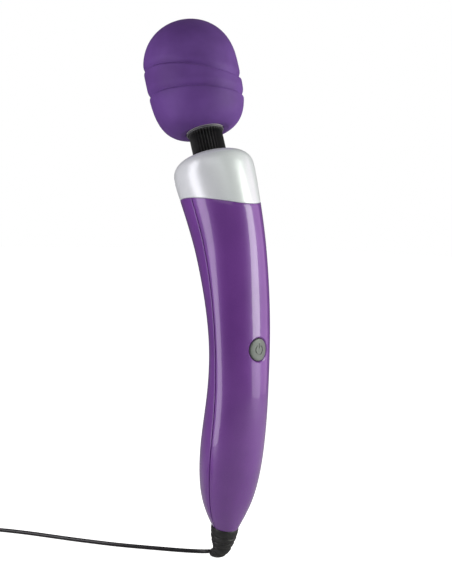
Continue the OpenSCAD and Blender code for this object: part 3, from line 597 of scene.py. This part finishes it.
def shellRings(side):
    count = handle["around"]
    start = 0 if side < 0 else math.pi
    levels = [(s, 0) for s in np.arange(handle["tail"], -80, 1.5)]
    levels += [(s, 0) for s in np.arange(-80, 60, 3.5)]
    levels += [(60 + 34 * k / 9, (k / 9) ** 1.6) for k in range(10)]
    rings = []
    for level, share in levels:
        ring = []
        for i in range(count + 1):
            angle = start + math.pi * i / count
            spot = rimPoint(level + share * edgeRise(angle), angle)
            if i in (0, count):
                spot.y += side * handle["seamGap"] * mm
            ring.append(spot)
        rings.append(ring)
    return rings


def addShell(name, side):
    shell = loft(name, shellRings(side), openRing=True)
    pick(shell)
    bpy.ops.object.mode_set(mode="EDIT")
    bpy.ops.mesh.select_all(action="SELECT")
    mesh = bmesh.from_edit_mesh(shell.data)
    outward = sum(face.normal.y for face in mesh.faces) * side
    if outward < 0:
        bpy.ops.mesh.flip_normals()
    bpy.ops.object.mode_set(mode="OBJECT")
    modify(shell, "SOLIDIFY", thickness=handle["wall"] * mm, offset=-1)
    modify(shell, "BEVEL", width=handle["edgeRound"] * mm, segments=2, limit_method="ANGLE",
           angle_limit=math.radians(50))
    return shell


frontShell = addShell("frontShell", -1)
rearShell = addShell("rearShell", 1)
print("handle shells lofted")


# ---- Button hole with a shallow recess that follows the shell's surface
buttonSet = {"place": 7, "radius": 6.5, "gap": 0.3, "recessRadius": 7.75,
             "proud": 0.02, "flange": 11.1}
buttonFront = halfSizes(buttonSet["place"])[1]


def onButton(x, z, n):  # n forward of the centre line, along the button's own axis
    t = leanAt(buttonSet["place"])
    base = onLine(0, 0, buttonSet["place"]) / mm
    return Vector((x, base.y - n * math.cos(t) + z * math.sin(t),
                   base.z + n * math.sin(t) + z * math.cos(t))) * mm


def surfaceUnder(x, z):  # how far forward the shell's surface stands there
    s = buttonSet["place"] + z
    half, front, rear = halfSizes(s)
    spot = onLine(x, -front * math.sqrt(max(1 - (x / half) ** 2, 0)), s) / mm
    t = leanAt(buttonSet["place"])
    base = onLine(0, 0, buttonSet["place"]) / mm
    return -(spot.y - base.y) * math.cos(t) + (spot.z - base.z) * math.sin(t)


def surfaceRing(radius, rise, count=72):
    ring = []
    for i in range(count):
        a = 2 * math.pi * i / count
        x, z = radius * math.cos(a), radius * math.sin(a)
        ring.append(onButton(x, z, surfaceUnder(x, z) + rise))
    return ring


def discRing(radius, n, count=72):
    return [onButton(radius * math.cos(2 * math.pi * i / count),
                     radius * math.sin(2 * math.pi * i / count), n) for i in range(count)]


def cutAway(piece, cutter):
    modify(piece, "BOOLEAN", operation="DIFFERENCE", object=cutter, solver="EXACT")
    bpy.data.objects.remove(cutter)


holeRadius = buttonSet["radius"] + buttonSet["gap"]
wide = buttonSet["recessRadius"]
cutAway(frontShell, loft("buttonCutter", [
    discRing(holeRadius, 8), surfaceRing(holeRadius, -1.1),
    surfaceRing(holeRadius + 0.05, -0.8), surfaceRing(holeRadius + 0.2, -0.5),
    surfaceRing(holeRadius + 0.45, -0.25), surfaceRing(wide, -0.02),
    surfaceRing(wide + 0.5, 0.5),
    discRing(wide + 1.5, 22)], ("face", "face")))
for place in (-74, -36, 40):  # screw holes up the back
    rear = halfSizes(place)[2]
    t = leanAt(place)
    rings = []
    for n, radius in ((4, 2.9), (rear - 0.45, 2.9), (rear - 0.2, 3.0), (rear + 0.6, 3.6)):
        ring = []
        for i in range(40):
            a = 2 * math.pi * i / 40
            spot = onLine(radius * math.cos(a), n, place) / mm
            ring.append(Vector((spot.x, spot.y + radius * math.sin(a) * math.sin(t),
                                spot.z + radius * math.sin(a) * math.cos(t))) * mm)
        rings.append(ring)
    cutAway(rearShell, loft("plugCutter", rings, ("face", "face")))
for piece, node in ((frontShell, "front_shell"), (rearShell, "rear_shell")):
    smooth(piece, 40)
    dress(piece, "shellPurple", "handle", "shell_purple", node)
print("button and screw holes cut")


def signCutters():  # open ring with a bar, the plain sign for power
    depth, rise, halfOpening, steps = 0.28, 1.2, 24, 40
    arc = []
    for i in range(steps + 1):
        a = math.radians(90 + halfOpening + (360 - 2 * halfOpening) * i / steps)
        arc.append([onButton(r * math.cos(a), r * math.sin(a),
                             surfaceUnder(r * math.cos(a), r * math.sin(a)) + n)
                    for r, n in ((2.4, -depth), (3.0, -depth), (3.0, rise), (2.4, rise))])
    bar = [[onButton(x, z, buttonFront + n) for x, n in
            ((-0.32, -depth), (0.32, -depth), (0.32, rise), (-0.32, rise))] for z in (0.9, 3.7)]
    return [loft("signRing", arc, ("face", "face")), loft("signBar", bar, ("face", "face"))]


def addButton():
    r, proud = buttonSet["radius"], buttonSet["proud"]
    rings = [surfaceRing(radius, proud - drop) for radius, drop in
             ((0.9, 0), (2, 0), (3.2, 0), (4.4, 0), (5.4, 0.01), (6.0, 0.05), (6.25, 0.13),
              (6.42, 0.27), (r, 0.5), (r, 0.9))]
    rings += [discRing(r, 14), discRing(r, 11.9), discRing(r + 1, 11.9),
              discRing(r + 1, buttonSet["flange"])]
    button = loft("powerButton", rings, ("face", "face"))
    for cutter in signCutters():
        cutAway(button, cutter)
    smooth(button, 35)
    dress(button, "buttonGrey", "button", "button_grey", "power_button")


addButton()
print("button made")


# ---- Collar with its wavy lower edge and rounded shoulder
def collarRing(s, k, inset=0):
    half, front, rear = halfSizes(collarSet["middle"])
    ring = []
    for i in range(collarSet["around"]):
        a = 2 * math.pi * i / collarSet["around"]
        depth = front if math.sin(a) > 0 else rear
        ring.append(onLine(k * (half - inset) * math.cos(a),
                           -k * (depth - inset) * math.sin(a), s))
    return ring


def wavyRing(level, share, inset=0):
    return [rimPoint(level + share * edgeRise(2 * math.pi * i / collarSet["around"]),
                     2 * math.pi * i / collarSet["around"], inset)
            for i in range(collarSet["around"])]


def addCollar():
    edge, middle, height = collarSet["edge"] + 0.22, collarSet["middle"], collarSet["height"]
    power, top = collarSet["power"], collarSet["middle"] + collarSet["height"]
    rings = [wavyRing(edge + 4, 1, 2.2), wavyRing(edge, 1, 2.1), wavyRing(edge, 1, 0.55),
             wavyRing(edge + 0.06, 1, 0.3), wavyRing(edge + 0.22, 1, 0.1),
             wavyRing(edge + 0.5, 1, 0.0)]
    for k in range(1, 12):
        level = edge + 0.5 + (middle - edge - 0.5) * k / 11
        rings.append(wavyRing(level, 1 - bounce(level, edge + 0.5, middle) ** 1.1, 0.0))
    for degrees in (8, 16, 24, 32, 40, 47, 54, 60, 66, 71, 75, 79, 82.5, 85.5):
        a = math.radians(degrees)
        rings.append(collarRing(middle + height * math.sin(a) ** (2 / power),
                                math.cos(a) ** (2 / power)))
    last = collarSet["holeRadius"]
    rings += [roundRing(last + 0.35, top - 0.02, collarSet["around"]),
              roundRing(last + 0.08, top - 0.12, collarSet["around"]),
              roundRing(last, top - 0.4, collarSet["around"]),
              roundRing(last, top - 2.2, collarSet["around"]),
              collarRing(top - 2.4, 0.7, 2.2), collarRing(top - 4.4, 0.95, 2.2),
              collarRing(middle, 1, 2.2)]
    collar = loft("collar", rings)
    sealRing(collar, rings[0], rings[-1])
    smooth(collar, 50)
    dress(collar, "collarPearl", "handle", "collar_pearl", "collar")


addCollar()
print("collar made")


# ---- Neck: a fluted rubber sleeve and two springs, each in two lengths, a lower and an upper
boot = {"radius": 10.25, "flutes": 36, "fluteDepth": 1.15, "bottom": 119.8, "top": 140.2,
        "split": 132.5, "bore": 8.3,
        "lowerBend": (124.5, 131.5), "upperBend": (133.2, 138.8)}
neckSpring = {"radius": 6.9, "wire": 0.8, "bottom": 116.05, "top": 143.3, "turns": 9}
driveSpring = {"radius": 2.9, "bore": 1.55, "bottom": 91, "top": 150.4, "pitch": 1.2,
               "dip": 0.35, "upperBend": (136, 142)}


def flutedRing(s, radius, depth):
    count, ring = boot["flutes"] * 6, []
    for i in range(count):
        a = 2 * math.pi * i / count
        dip = depth * (0.5 - 0.5 * math.cos(boot["flutes"] * a)) ** 0.62
        ring.append(onLine((radius - dip) * math.cos(a), -(radius - dip) * math.sin(a), s))
    return ring


def bendPair(lower, upper, look, slot, node, upperBend=boot["upperBend"]):
    for piece, a, b, start, end in ((lower, "handle", "neck_link", *boot["lowerBend"]),
                                    (upper, "neck_link", "head", *upperBend)):
        smooth(piece, 60)
        piece.data.materials.clear()
        piece.data.materials.append(looks[look])
        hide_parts(node)
        tuple(onLine(0, 0, start))
        tuple(onLine(0, 0, end))
        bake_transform(piece)


def sleeve(name, rings):
    piece = loft(name, rings)
    sealRing(piece, rings[0], rings[-1])
    return piece


def addBoot():
    r, d, split, bore = boot["radius"], boot["fluteDepth"], boot["split"], boot["bore"]
    low = [(boot["bottom"], 13.4, 0), (122, 13.4, 0), (122.02, r, 0)]
    low += [(s, r, d * bounce(s, 124.6, 125.6)) for s in np.linspace(123.4, split, 16)]
    low += [(s, bore, 0) for s in np.linspace(split, boot["bottom"], 12)]
    high = [(s, r, d * bounce(s, 140.1, 138.9)) for s in np.linspace(split, boot["top"], 14)]
    high += [(s, bore, 0) for s in np.linspace(boot["top"], split, 10)]
    lower = sleeve("neckBootLower", [flutedRing(*row) for row in low])
    upper = sleeve("neckBootUpper", [flutedRing(*row) for row in high])
    bendPair(lower, upper, "blackRubber", "black_rubber", "neck_boot")


def springRing(turned):
    wire, a = neckSpring["wire"], 2 * math.pi * turned
    rise = (neckSpring["top"] - neckSpring["bottom"]) / neckSpring["turns"]
    ring = []
    for i in range(8):
        b = 2 * math.pi * i / 8
        r = neckSpring["radius"] + wire * math.cos(b)
        ring.append(onLine(r * math.cos(a), -r * math.sin(a),
                           neckSpring["bottom"] + rise * turned + wire * math.sin(b)))
    return ring


def addNeckSpring():
    span = neckSpring["top"] - neckSpring["bottom"]
    half = neckSpring["turns"] * (boot["split"] - neckSpring["bottom"]) / span
    lower = loft("neckSpringLower", [springRing(t) for t in np.linspace(0, half, 80)],
                 ("face", "face"))
    upper = loft("neckSpringUpper",
                 [springRing(t) for t in np.linspace(half, neckSpring["turns"], 54)],
                 ("face", "face"))
    bendPair(lower, upper, "steel", "steel", "neck_spring")


def addDriveSpring():
    r, bore, parts = driveSpring["radius"], driveSpring["bore"], []
    for name, low, high in (("driveSpringLower", driveSpring["bottom"], boot["split"]),
                            ("driveSpringUpper", boot["split"], driveSpring["top"])):
        count = 2 * round((high - low) / driveSpring["pitch"])
        rings = [roundRing(r - driveSpring["dip"] * (i % 2 == 0),
                           low + (high - low) * i / count, 24)
                 for i in range(count + 1)]
        rings += [roundRing(bore, s, 24) for s in np.linspace(high, low, count // 2)]
        parts.append(sleeve(name, rings))
    bendPair(*parts, "steel", "steel", "drive_spring", driveSpring["upperBend"])


addBoot()
addNeckSpring()
addDriveSpring()
print("neck boot and springs made")


# ---- Head: one squashed curve above its widest place and one below, with two wavy lines
head = {"middle": 182.4, "radius": 29.1, "upHeight": 29.4, "lowHeight": 42.6, "upPower": 2.16,
        "lowPower": 3.75, "bottom": 140.7, "mouth": 11.6, "grooveDepth": 1.5, "around": 96}
grooveRows = [(-1.1, 0), (-0.8, 0.07), (-0.5, 0.26), (-0.2, 0.58), (0.1, 0.88), (0.4, 1),
              (0.8, 0.97), (1.3, 0.82), (2.0, 0.6), (2.8, 0.36), (3.7, 0.14), (4.7, 0)]


def headRadius(s):
    drop = head["middle"] - s
    height = head["lowHeight"] if drop > 0 else head["upHeight"]
    power = head["lowPower"] if drop > 0 else head["upPower"]
    return head["radius"] * max(1 - (abs(drop) / height) ** power, 0) ** (1 / power)


def wave(a, middle, swing, turn, second):
    phase = a - math.radians(turn)
    return middle - swing * math.cos(phase) - second * math.cos(2 * phase)


def lowGroove(a):
    return wave(a, 163.1, 6.3, 76, 0.2)


def highGroove(a):
    return wave(a, 177.7, 9.2, 76.5, 1.5)


def headRing(level, drop=0):
    ring = []
    for i in range(head["around"]):
        a = 2 * math.pi * i / head["around"]
        s = level(a)
        r = headRadius(s) - drop
        ring.append(onLine(r * math.cos(a), -r * math.sin(a), s))
    return ring


def between(first, second, share):
    return lambda a: first(a) + (second(a) - first(a)) * share


def addHead():
    count, low = head["around"], head["bottom"]
    crown = head["middle"] + head["upHeight"]
    mouth = head["mouth"]
    rings = [roundRing(mouth, low + 2.6, count), roundRing(mouth, low + 0.3, count),
             roundRing(mouth + 0.15, low + 0.05, count), roundRing(mouth + 0.6, low, count)]
    underLow, overLow = (lambda a: lowGroove(a) - 1.1), (lambda a: lowGroove(a) + 4.7)
    underHigh, overHigh = (lambda a: highGroove(a) - 1.1), (lambda a: highGroove(a) + 4.7)
    for share in (0, 0.004, 0.012, 0.025, 0.045, 0.07, 0.1, 0.14, 0.19, 0.25, 0.33, 0.42, 0.52,
                  0.64, 0.76, 0.88):
        rings.append(headRing(between(lambda a: low, underLow, share)))
    for rise, depth in grooveRows:
        rings.append(headRing(lambda a: lowGroove(a) + rise, depth * head["grooveDepth"]))
    for share in (0.2, 0.4, 0.6, 0.8):
        rings.append(headRing(between(overLow, underHigh, share)))
    for rise, depth in grooveRows:
        rings.append(headRing(lambda a: highGroove(a) + rise, depth * head["grooveDepth"]))
    for share in (0.12, 0.24, 0.36, 0.48, 0.58, 0.67, 0.75, 0.82, 0.88, 0.925, 0.96, 0.983,
                  0.995):
        rings.append(headRing(between(overHigh, lambda a: crown, share)))
    rings.append(roundRing(1.6, crown - 0.01, count))
    inner = [roundRing(r, s, count) for r, s in
             ((0.5, crown - 2.6), (12, crown - 5.4), (20, crown - 11.5), (24.6, crown - 19),
              (26.3, crown - 29.4), (26, 165), (24, 152), (18, 145.5), (12.4, low + 3))]
    skin = loft("headSkin", inner + rings, ("pole", "pole"))
    modify(skin, "SUBSURF", levels=1, render_levels=1)
    smooth(skin, 60)
    dress(skin, "headSilicone", "head", "head_silicone", "head_skin")


def addNeckRing():  # thin ring that finishes the mouth under the head
    profile = [(10.4, 140.5), (10.4, 139.95), (10.65, 139.7), (11.0, 139.62), (11.35, 139.75),
               (11.5, 140.05), (11.45, 140.4), (11.2, 140.6)]
    rings = [roundRing(radius, s, 72) for radius, s in profile]
    ring = loft("neckRing", rings)
    sealRing(ring, rings[0], rings[-1])
    smooth(ring, 50)
    dress(ring, "greyPlastic", "head", "grey_plastic", "neck_ring")


addHead()
addNeckRing()
print("head made")


# ---- Strain relief: a ribbed, bent taper
reliefRows = [(0.05, 8.0), (0.2, 8.25), (1, 8.45), (2.8, 8.32), (4.3, 8.16), (4.65, 8.0),
              (4.85, 7.65), (5.2, 7.5), (5.7, 7.5), (6.0, 7.7), (6.3, 7.92), (7.9, 7.48),
              (8.25, 7.3), (8.45, 6.9), (8.8, 6.72), (9.3, 6.7), (9.6, 6.9), (9.9, 7.04),
              (11.5, 6.5), (11.85, 6.3), (12.05, 5.9), (12.4, 5.7), (12.9, 5.66), (13.2, 5.82),
              (13.5, 5.93), (15.1, 5.32), (15.45, 5.15), (15.65, 4.8), (16.0, 4.6),
              (16.5, 4.55), (16.8, 4.65), (17.1, 4.73), (18.5, 4.15), (20, 3.6), (21.6, 3.1),
              (23.2, 2.75), (24.2, 2.52), (24.5, 2.3), (24.6, 1.9), (24.45, 1.3)]


def reliefRing(w, radius):
    y, z, heading = reliefAt(w)
    ring = []
    for i in range(relief["sides"]):
        a = 2 * math.pi * i / relief["sides"]
        across = radius * math.sin(a)
        ring.append(Vector((radius * math.cos(a), y + across * math.cos(heading),
                            z + across * math.sin(heading))) * mm)
    return ring


def addRelief():
    rings = [reliefRing(0.05, 4.5)] + [reliefRing(w, radius) for w, radius in reliefRows]
    piece = loft("strainRelief", rings, ("face", "face"))
    smooth(piece, 50)
    dress(piece, "blackRubber", "handle", "black_rubber", "strain_relief")
    return piece


strainRelief = addRelief()
print("strain relief made")


# ---- Coil tie, the adapter's housing halves and the ribbed sleeve of its lead
adapter = {"x": -146, "y": 84, "width": 34, "height": 26, "depth": 36, "corner": 5}
floorLevel = cordSet["level"] - cordSet["diameter"] / 2


def addTie():
    half, top, corner = 6.2, 11.6, 2  # of the strap's path round the coil
    route = [(-half, 0.2)] + [(-half, z) for z in (2.5, 5, 7.5)]
    for side, start in ((-1, 180), (1, 90)):
        for i in range(7):
            a = math.radians(start - 90 * i / 6)
            route.append((side * (half - corner) + corner * math.cos(a),
                          top - corner + corner * math.sin(a)))
    route += [(half, z) for z in (7.5, 5, 2.5, 0.2)]
    spots = [Vector((0, p[0], p[1])) for p in route]
    rings = []
    for i, spot in enumerate(spots):
        ahead = (spots[min(i + 1, len(spots) - 1)] - spots[max(i - 1, 0)]).normalized()
        out = Vector((0, -ahead.z, ahead.y))
        ring = [spot + Vector((x, 0, 0)) + out * n for x, n in
                ((-2.5, 0.2), (-2.2, 0.42), (2.2, 0.42), (2.5, 0.2), (2.5, -0.2), (2.2, -0.42),
                 (-2.2, -0.42), (-2.5, -0.2))]
        rings.append([(p + Vector((cordSet["coilX"], cordSet["coilY"] - cordSet["coilRadius"],
                                   floorLevel))) * mm for p in ring])
    tie = loft("coilTie", rings, ("face", "face"))
    smooth(tie, 50)
    dress(tie, "blackPlastic", "handle", "black_plastic", "coil_tie")
    return tie


def onAdapter(along, across, up):  # along runs from the pins to the lead
    return Vector((adapter["x"] - across, adapter["y"] + along, floorLevel + up)) * mm


def boxRing(along, inset):
    ring = []
    halfY, halfZ = adapter["width"] / 2 - inset, adapter["height"] / 2 - inset
    corner = max(adapter["corner"] - inset, 0.8)
    for sideY, sideZ, start in ((1, 1, 0), (-1, 1, 90), (-1, -1, 180), (1, -1, 270)):
        for i in range(8):
            a = math.radians(start + 90 * i / 7)
            ring.append(onAdapter(along, sideY * (halfY - corner) + corner * math.cos(a),
                                  adapter["height"] / 2 + sideZ * (halfZ - corner)
                                  + corner * math.sin(a)))
    return ring


def addAdapterHalf(name, face, seam, node):
    way = 1 if seam > face else -1
    profile = [(0, 2.2), (0.15, 1.5), (0.5, 0.9), (1.1, 0.4), (2, 0.1), (3, 0)]
    rings = [boxRing(face + way * x, inset) for x, inset in profile]
    rings += [boxRing(seam - way * 6, 0), boxRing(seam - way * 0.35, 0), boxRing(seam, 0.35)]
    half = loft(name, rings, ("face", "face"))
    smooth(half, 40)
    dress(half, "blackPlastic", "handle", "black_plastic", node)
    return half


def addGrip():  # ribbed sleeve where the lead enters the adapter
    up = 3.5 * cordSet["diameter"]
    profile = [(12, 1.5), (12, 1.9), (10.5, 2.25), (10.2, 1.95), (9.4, 2.0), (9.1, 2.45),
               (7.4, 2.7), (7.1, 2.3), (6.3, 2.35), (6, 2.9), (4.2, 3.15), (3.9, 2.7),
               (3.1, 2.75), (2.8, 3.35), (0.2, 3.6)]
    rings = [[onAdapter(adapter["depth"] / 2 + w, radius * math.cos(2 * math.pi * i / 32),
                        up + radius * math.sin(2 * math.pi * i / 32)) for i in range(32)]
             for w, radius in profile]
    piece = loft("adapterSleeve", rings, ("face", "face"))
    smooth(piece, 50)
    dress(piece, "blackRubber", "handle", "black_rubber", "adapter_sleeve")
    return piece


coilTie = addTie()
adapterFront = addAdapterHalf("adapterFront", -18, 0, "adapter_front")
adapterBack = addAdapterHalf("adapterBack", 18, 0.02, "adapter_back")
adapterSleeve = addGrip()
print("adapter made")

y, z = reliefAt(relief["length"])[:2]
y * mm
z * mm


# ---- Finishes of the parts that keep their shape
nodeLooks = {
    "shellPurple": ["screw_plugs"],
    "blackRubber": ["button_gasket"],
    "blackPlastic": ["switch_body", "board_parts", "motor_mount", "neck_seat"],
    "whitePlastic": ["motor_end_cap", "lead_clamp", "drive_guide", "head_base", "head_cup",
                     "switch_plunger"],
    "steel": ["shell_screws", "board_screws", "motor_can", "motor_shaft", "motor_screws",
              "clamp_screws", "seat_screws", "head_screws", "lower_bearing", "upper_bearing",
              "eccentric_shaft", "weight_screw"],
    "zinc": ["eccentric_weight", "motor_magnets", "adapter_core"],
    "woundCopper": ["motor_armature"],
    "circuitBoard": ["control_board"],
    "redWire": ["motor_lead_red"],
    "cordVinyl": ["motor_lead_black", "input_lead"],
    "plated": ["adapter_pins"],
}
for look, nodes in nodeLooks.items():
    for node in nodes:
        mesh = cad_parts[node].data
        mesh.materials.clear()
        mesh.materials.append(looks[look])
print("parts inside finished")


# ---- Pale studio: an overexposed floor, a white surround and soft boxes
studio = {"floorSize": 12, "surround": 1.0, "fill": 0.08, "floorGlow": 1.0,
          "leftStrip": {"bearing": -107, "wide": 24, "low": -122, "high": 340, "far": 300,
                        "glow": 3.6, "tint": (1, 0.96, 1)},
          "rightStrip": {"bearing": 33.5, "wide": 27, "low": -25, "high": 460, "far": 520,
                         "glow": 6.2, "tint": (0.95, 1, 0.9)},
          "rightLow": {"bearing": 32, "wide": 34, "low": -122, "high": -32, "far": 520,
                       "glow": 2.4, "tint": (1, 0.97, 1)},
          "rightWash": {"bearing": 68, "wide": 36, "low": -122, "high": 420, "far": 560,
                        "glow": 0.95, "tint": (1, 0.72, 0.98)},
          "overhead": {"bearing": -50, "wide": 60, "low": 500, "high": 900, "far": 700,
                       "glow": 0.8, "tint": (1, 1, 1)}}


def addFloor():
    clearSelection()
    bpy.ops.mesh.primitive_plane_add(size=studio["floorSize"], location=(0, 0, floorLevel * mm))
    floor = bpy.context.object
    floor.name = "studioFloor"
    settle(floor)
    paint = Paint("studioFloor", specular=0.1)
    grain = paint.noise(40, 3)
    paint.finish(baseColor=paint.blend(grain, colour(0.80, 0.80, 0.80), colour(0.84, 0.84, 0.84)),
                 roughness=paint.ranged(grain, 0, 1, 0.75, 0.9))
    glow = paint.add("ShaderNodeEmission", {}, {"Strength": studio["floorGlow"]})
    seen = paint.add("ShaderNodeLightPath", out=0)
    lit = paint.add("ShaderNodeMixShader", {}, {0: seen})
    out = paint.tree.nodes["Material Output"]
    paint.tree.links.new(paint.shader.outputs[0], lit.socket.node.inputs[1])
    both = paint.tree.nodes.new("ShaderNodeAddShader")
    paint.tree.links.new(paint.shader.outputs[0], both.inputs[0])
    paint.tree.links.new(glow.socket, both.inputs[1])
    paint.tree.links.new(both.outputs[0], lit.socket.node.inputs[2])
    paint.tree.links.new(lit.socket, out.inputs[0])
    floor.data.materials.append(paint.material)


def addSoftBox(name, box):
    clearSelection()
    bpy.ops.object.light_add(type="AREA")
    light = bpy.context.object
    light.name = name
    height = (box["high"] - box["low"]) * mm
    width = 2 * box["far"] * mm * math.tan(math.radians(box["wide"] / 2))
    light.data.shape = "RECTANGLE"
    light.data.size, light.data.size_y = width, height
    light.data.color = box["tint"]
    light.data.energy = box["glow"] * math.pi * width * height
    middle = Vector((0, 0.02, (box["low"] + box["high"]) / 2 * mm))
    light.location = middle + bearingVector(box["bearing"], 0) * box["far"] * mm
    if box["low"] > 300:
        target = Vector((0, 0.02, 0.03))
    else:
        target = middle
    light.rotation_euler = (light.location - target).to_track_quat("Z", "Y").to_euler()


def addSurround():
    world = bpy.data.worlds.new("paleSurround")
    scene.world = world
    world.use_nodes = True
    tree = world.node_tree
    tree.nodes.clear()
    shown, fill = tree.nodes.new("ShaderNodeBackground"), tree.nodes.new("ShaderNodeBackground")
    shown.inputs[0].default_value = fill.inputs[0].default_value = colour(1, 1, 1)
    shown.inputs[1].default_value = studio["surround"]
    fill.inputs[1].default_value = studio["fill"]
    path, mix = tree.nodes.new("ShaderNodeLightPath"), tree.nodes.new("ShaderNodeMixShader")
    out = tree.nodes.new("ShaderNodeOutputWorld")
    tree.links.new(path.outputs["Is Camera Ray"], mix.inputs[0])
    tree.links.new(fill.outputs[0], mix.inputs[1])
    tree.links.new(shown.outputs[0], mix.inputs[2])
    tree.links.new(mix.outputs[0], out.inputs[0])


addFloor()
addSurround()
for name in ("leftStrip", "rightStrip", "rightLow", "rightWash", "overhead"):
    addSoftBox(name + "Box", studio[name])
print("studio lit")
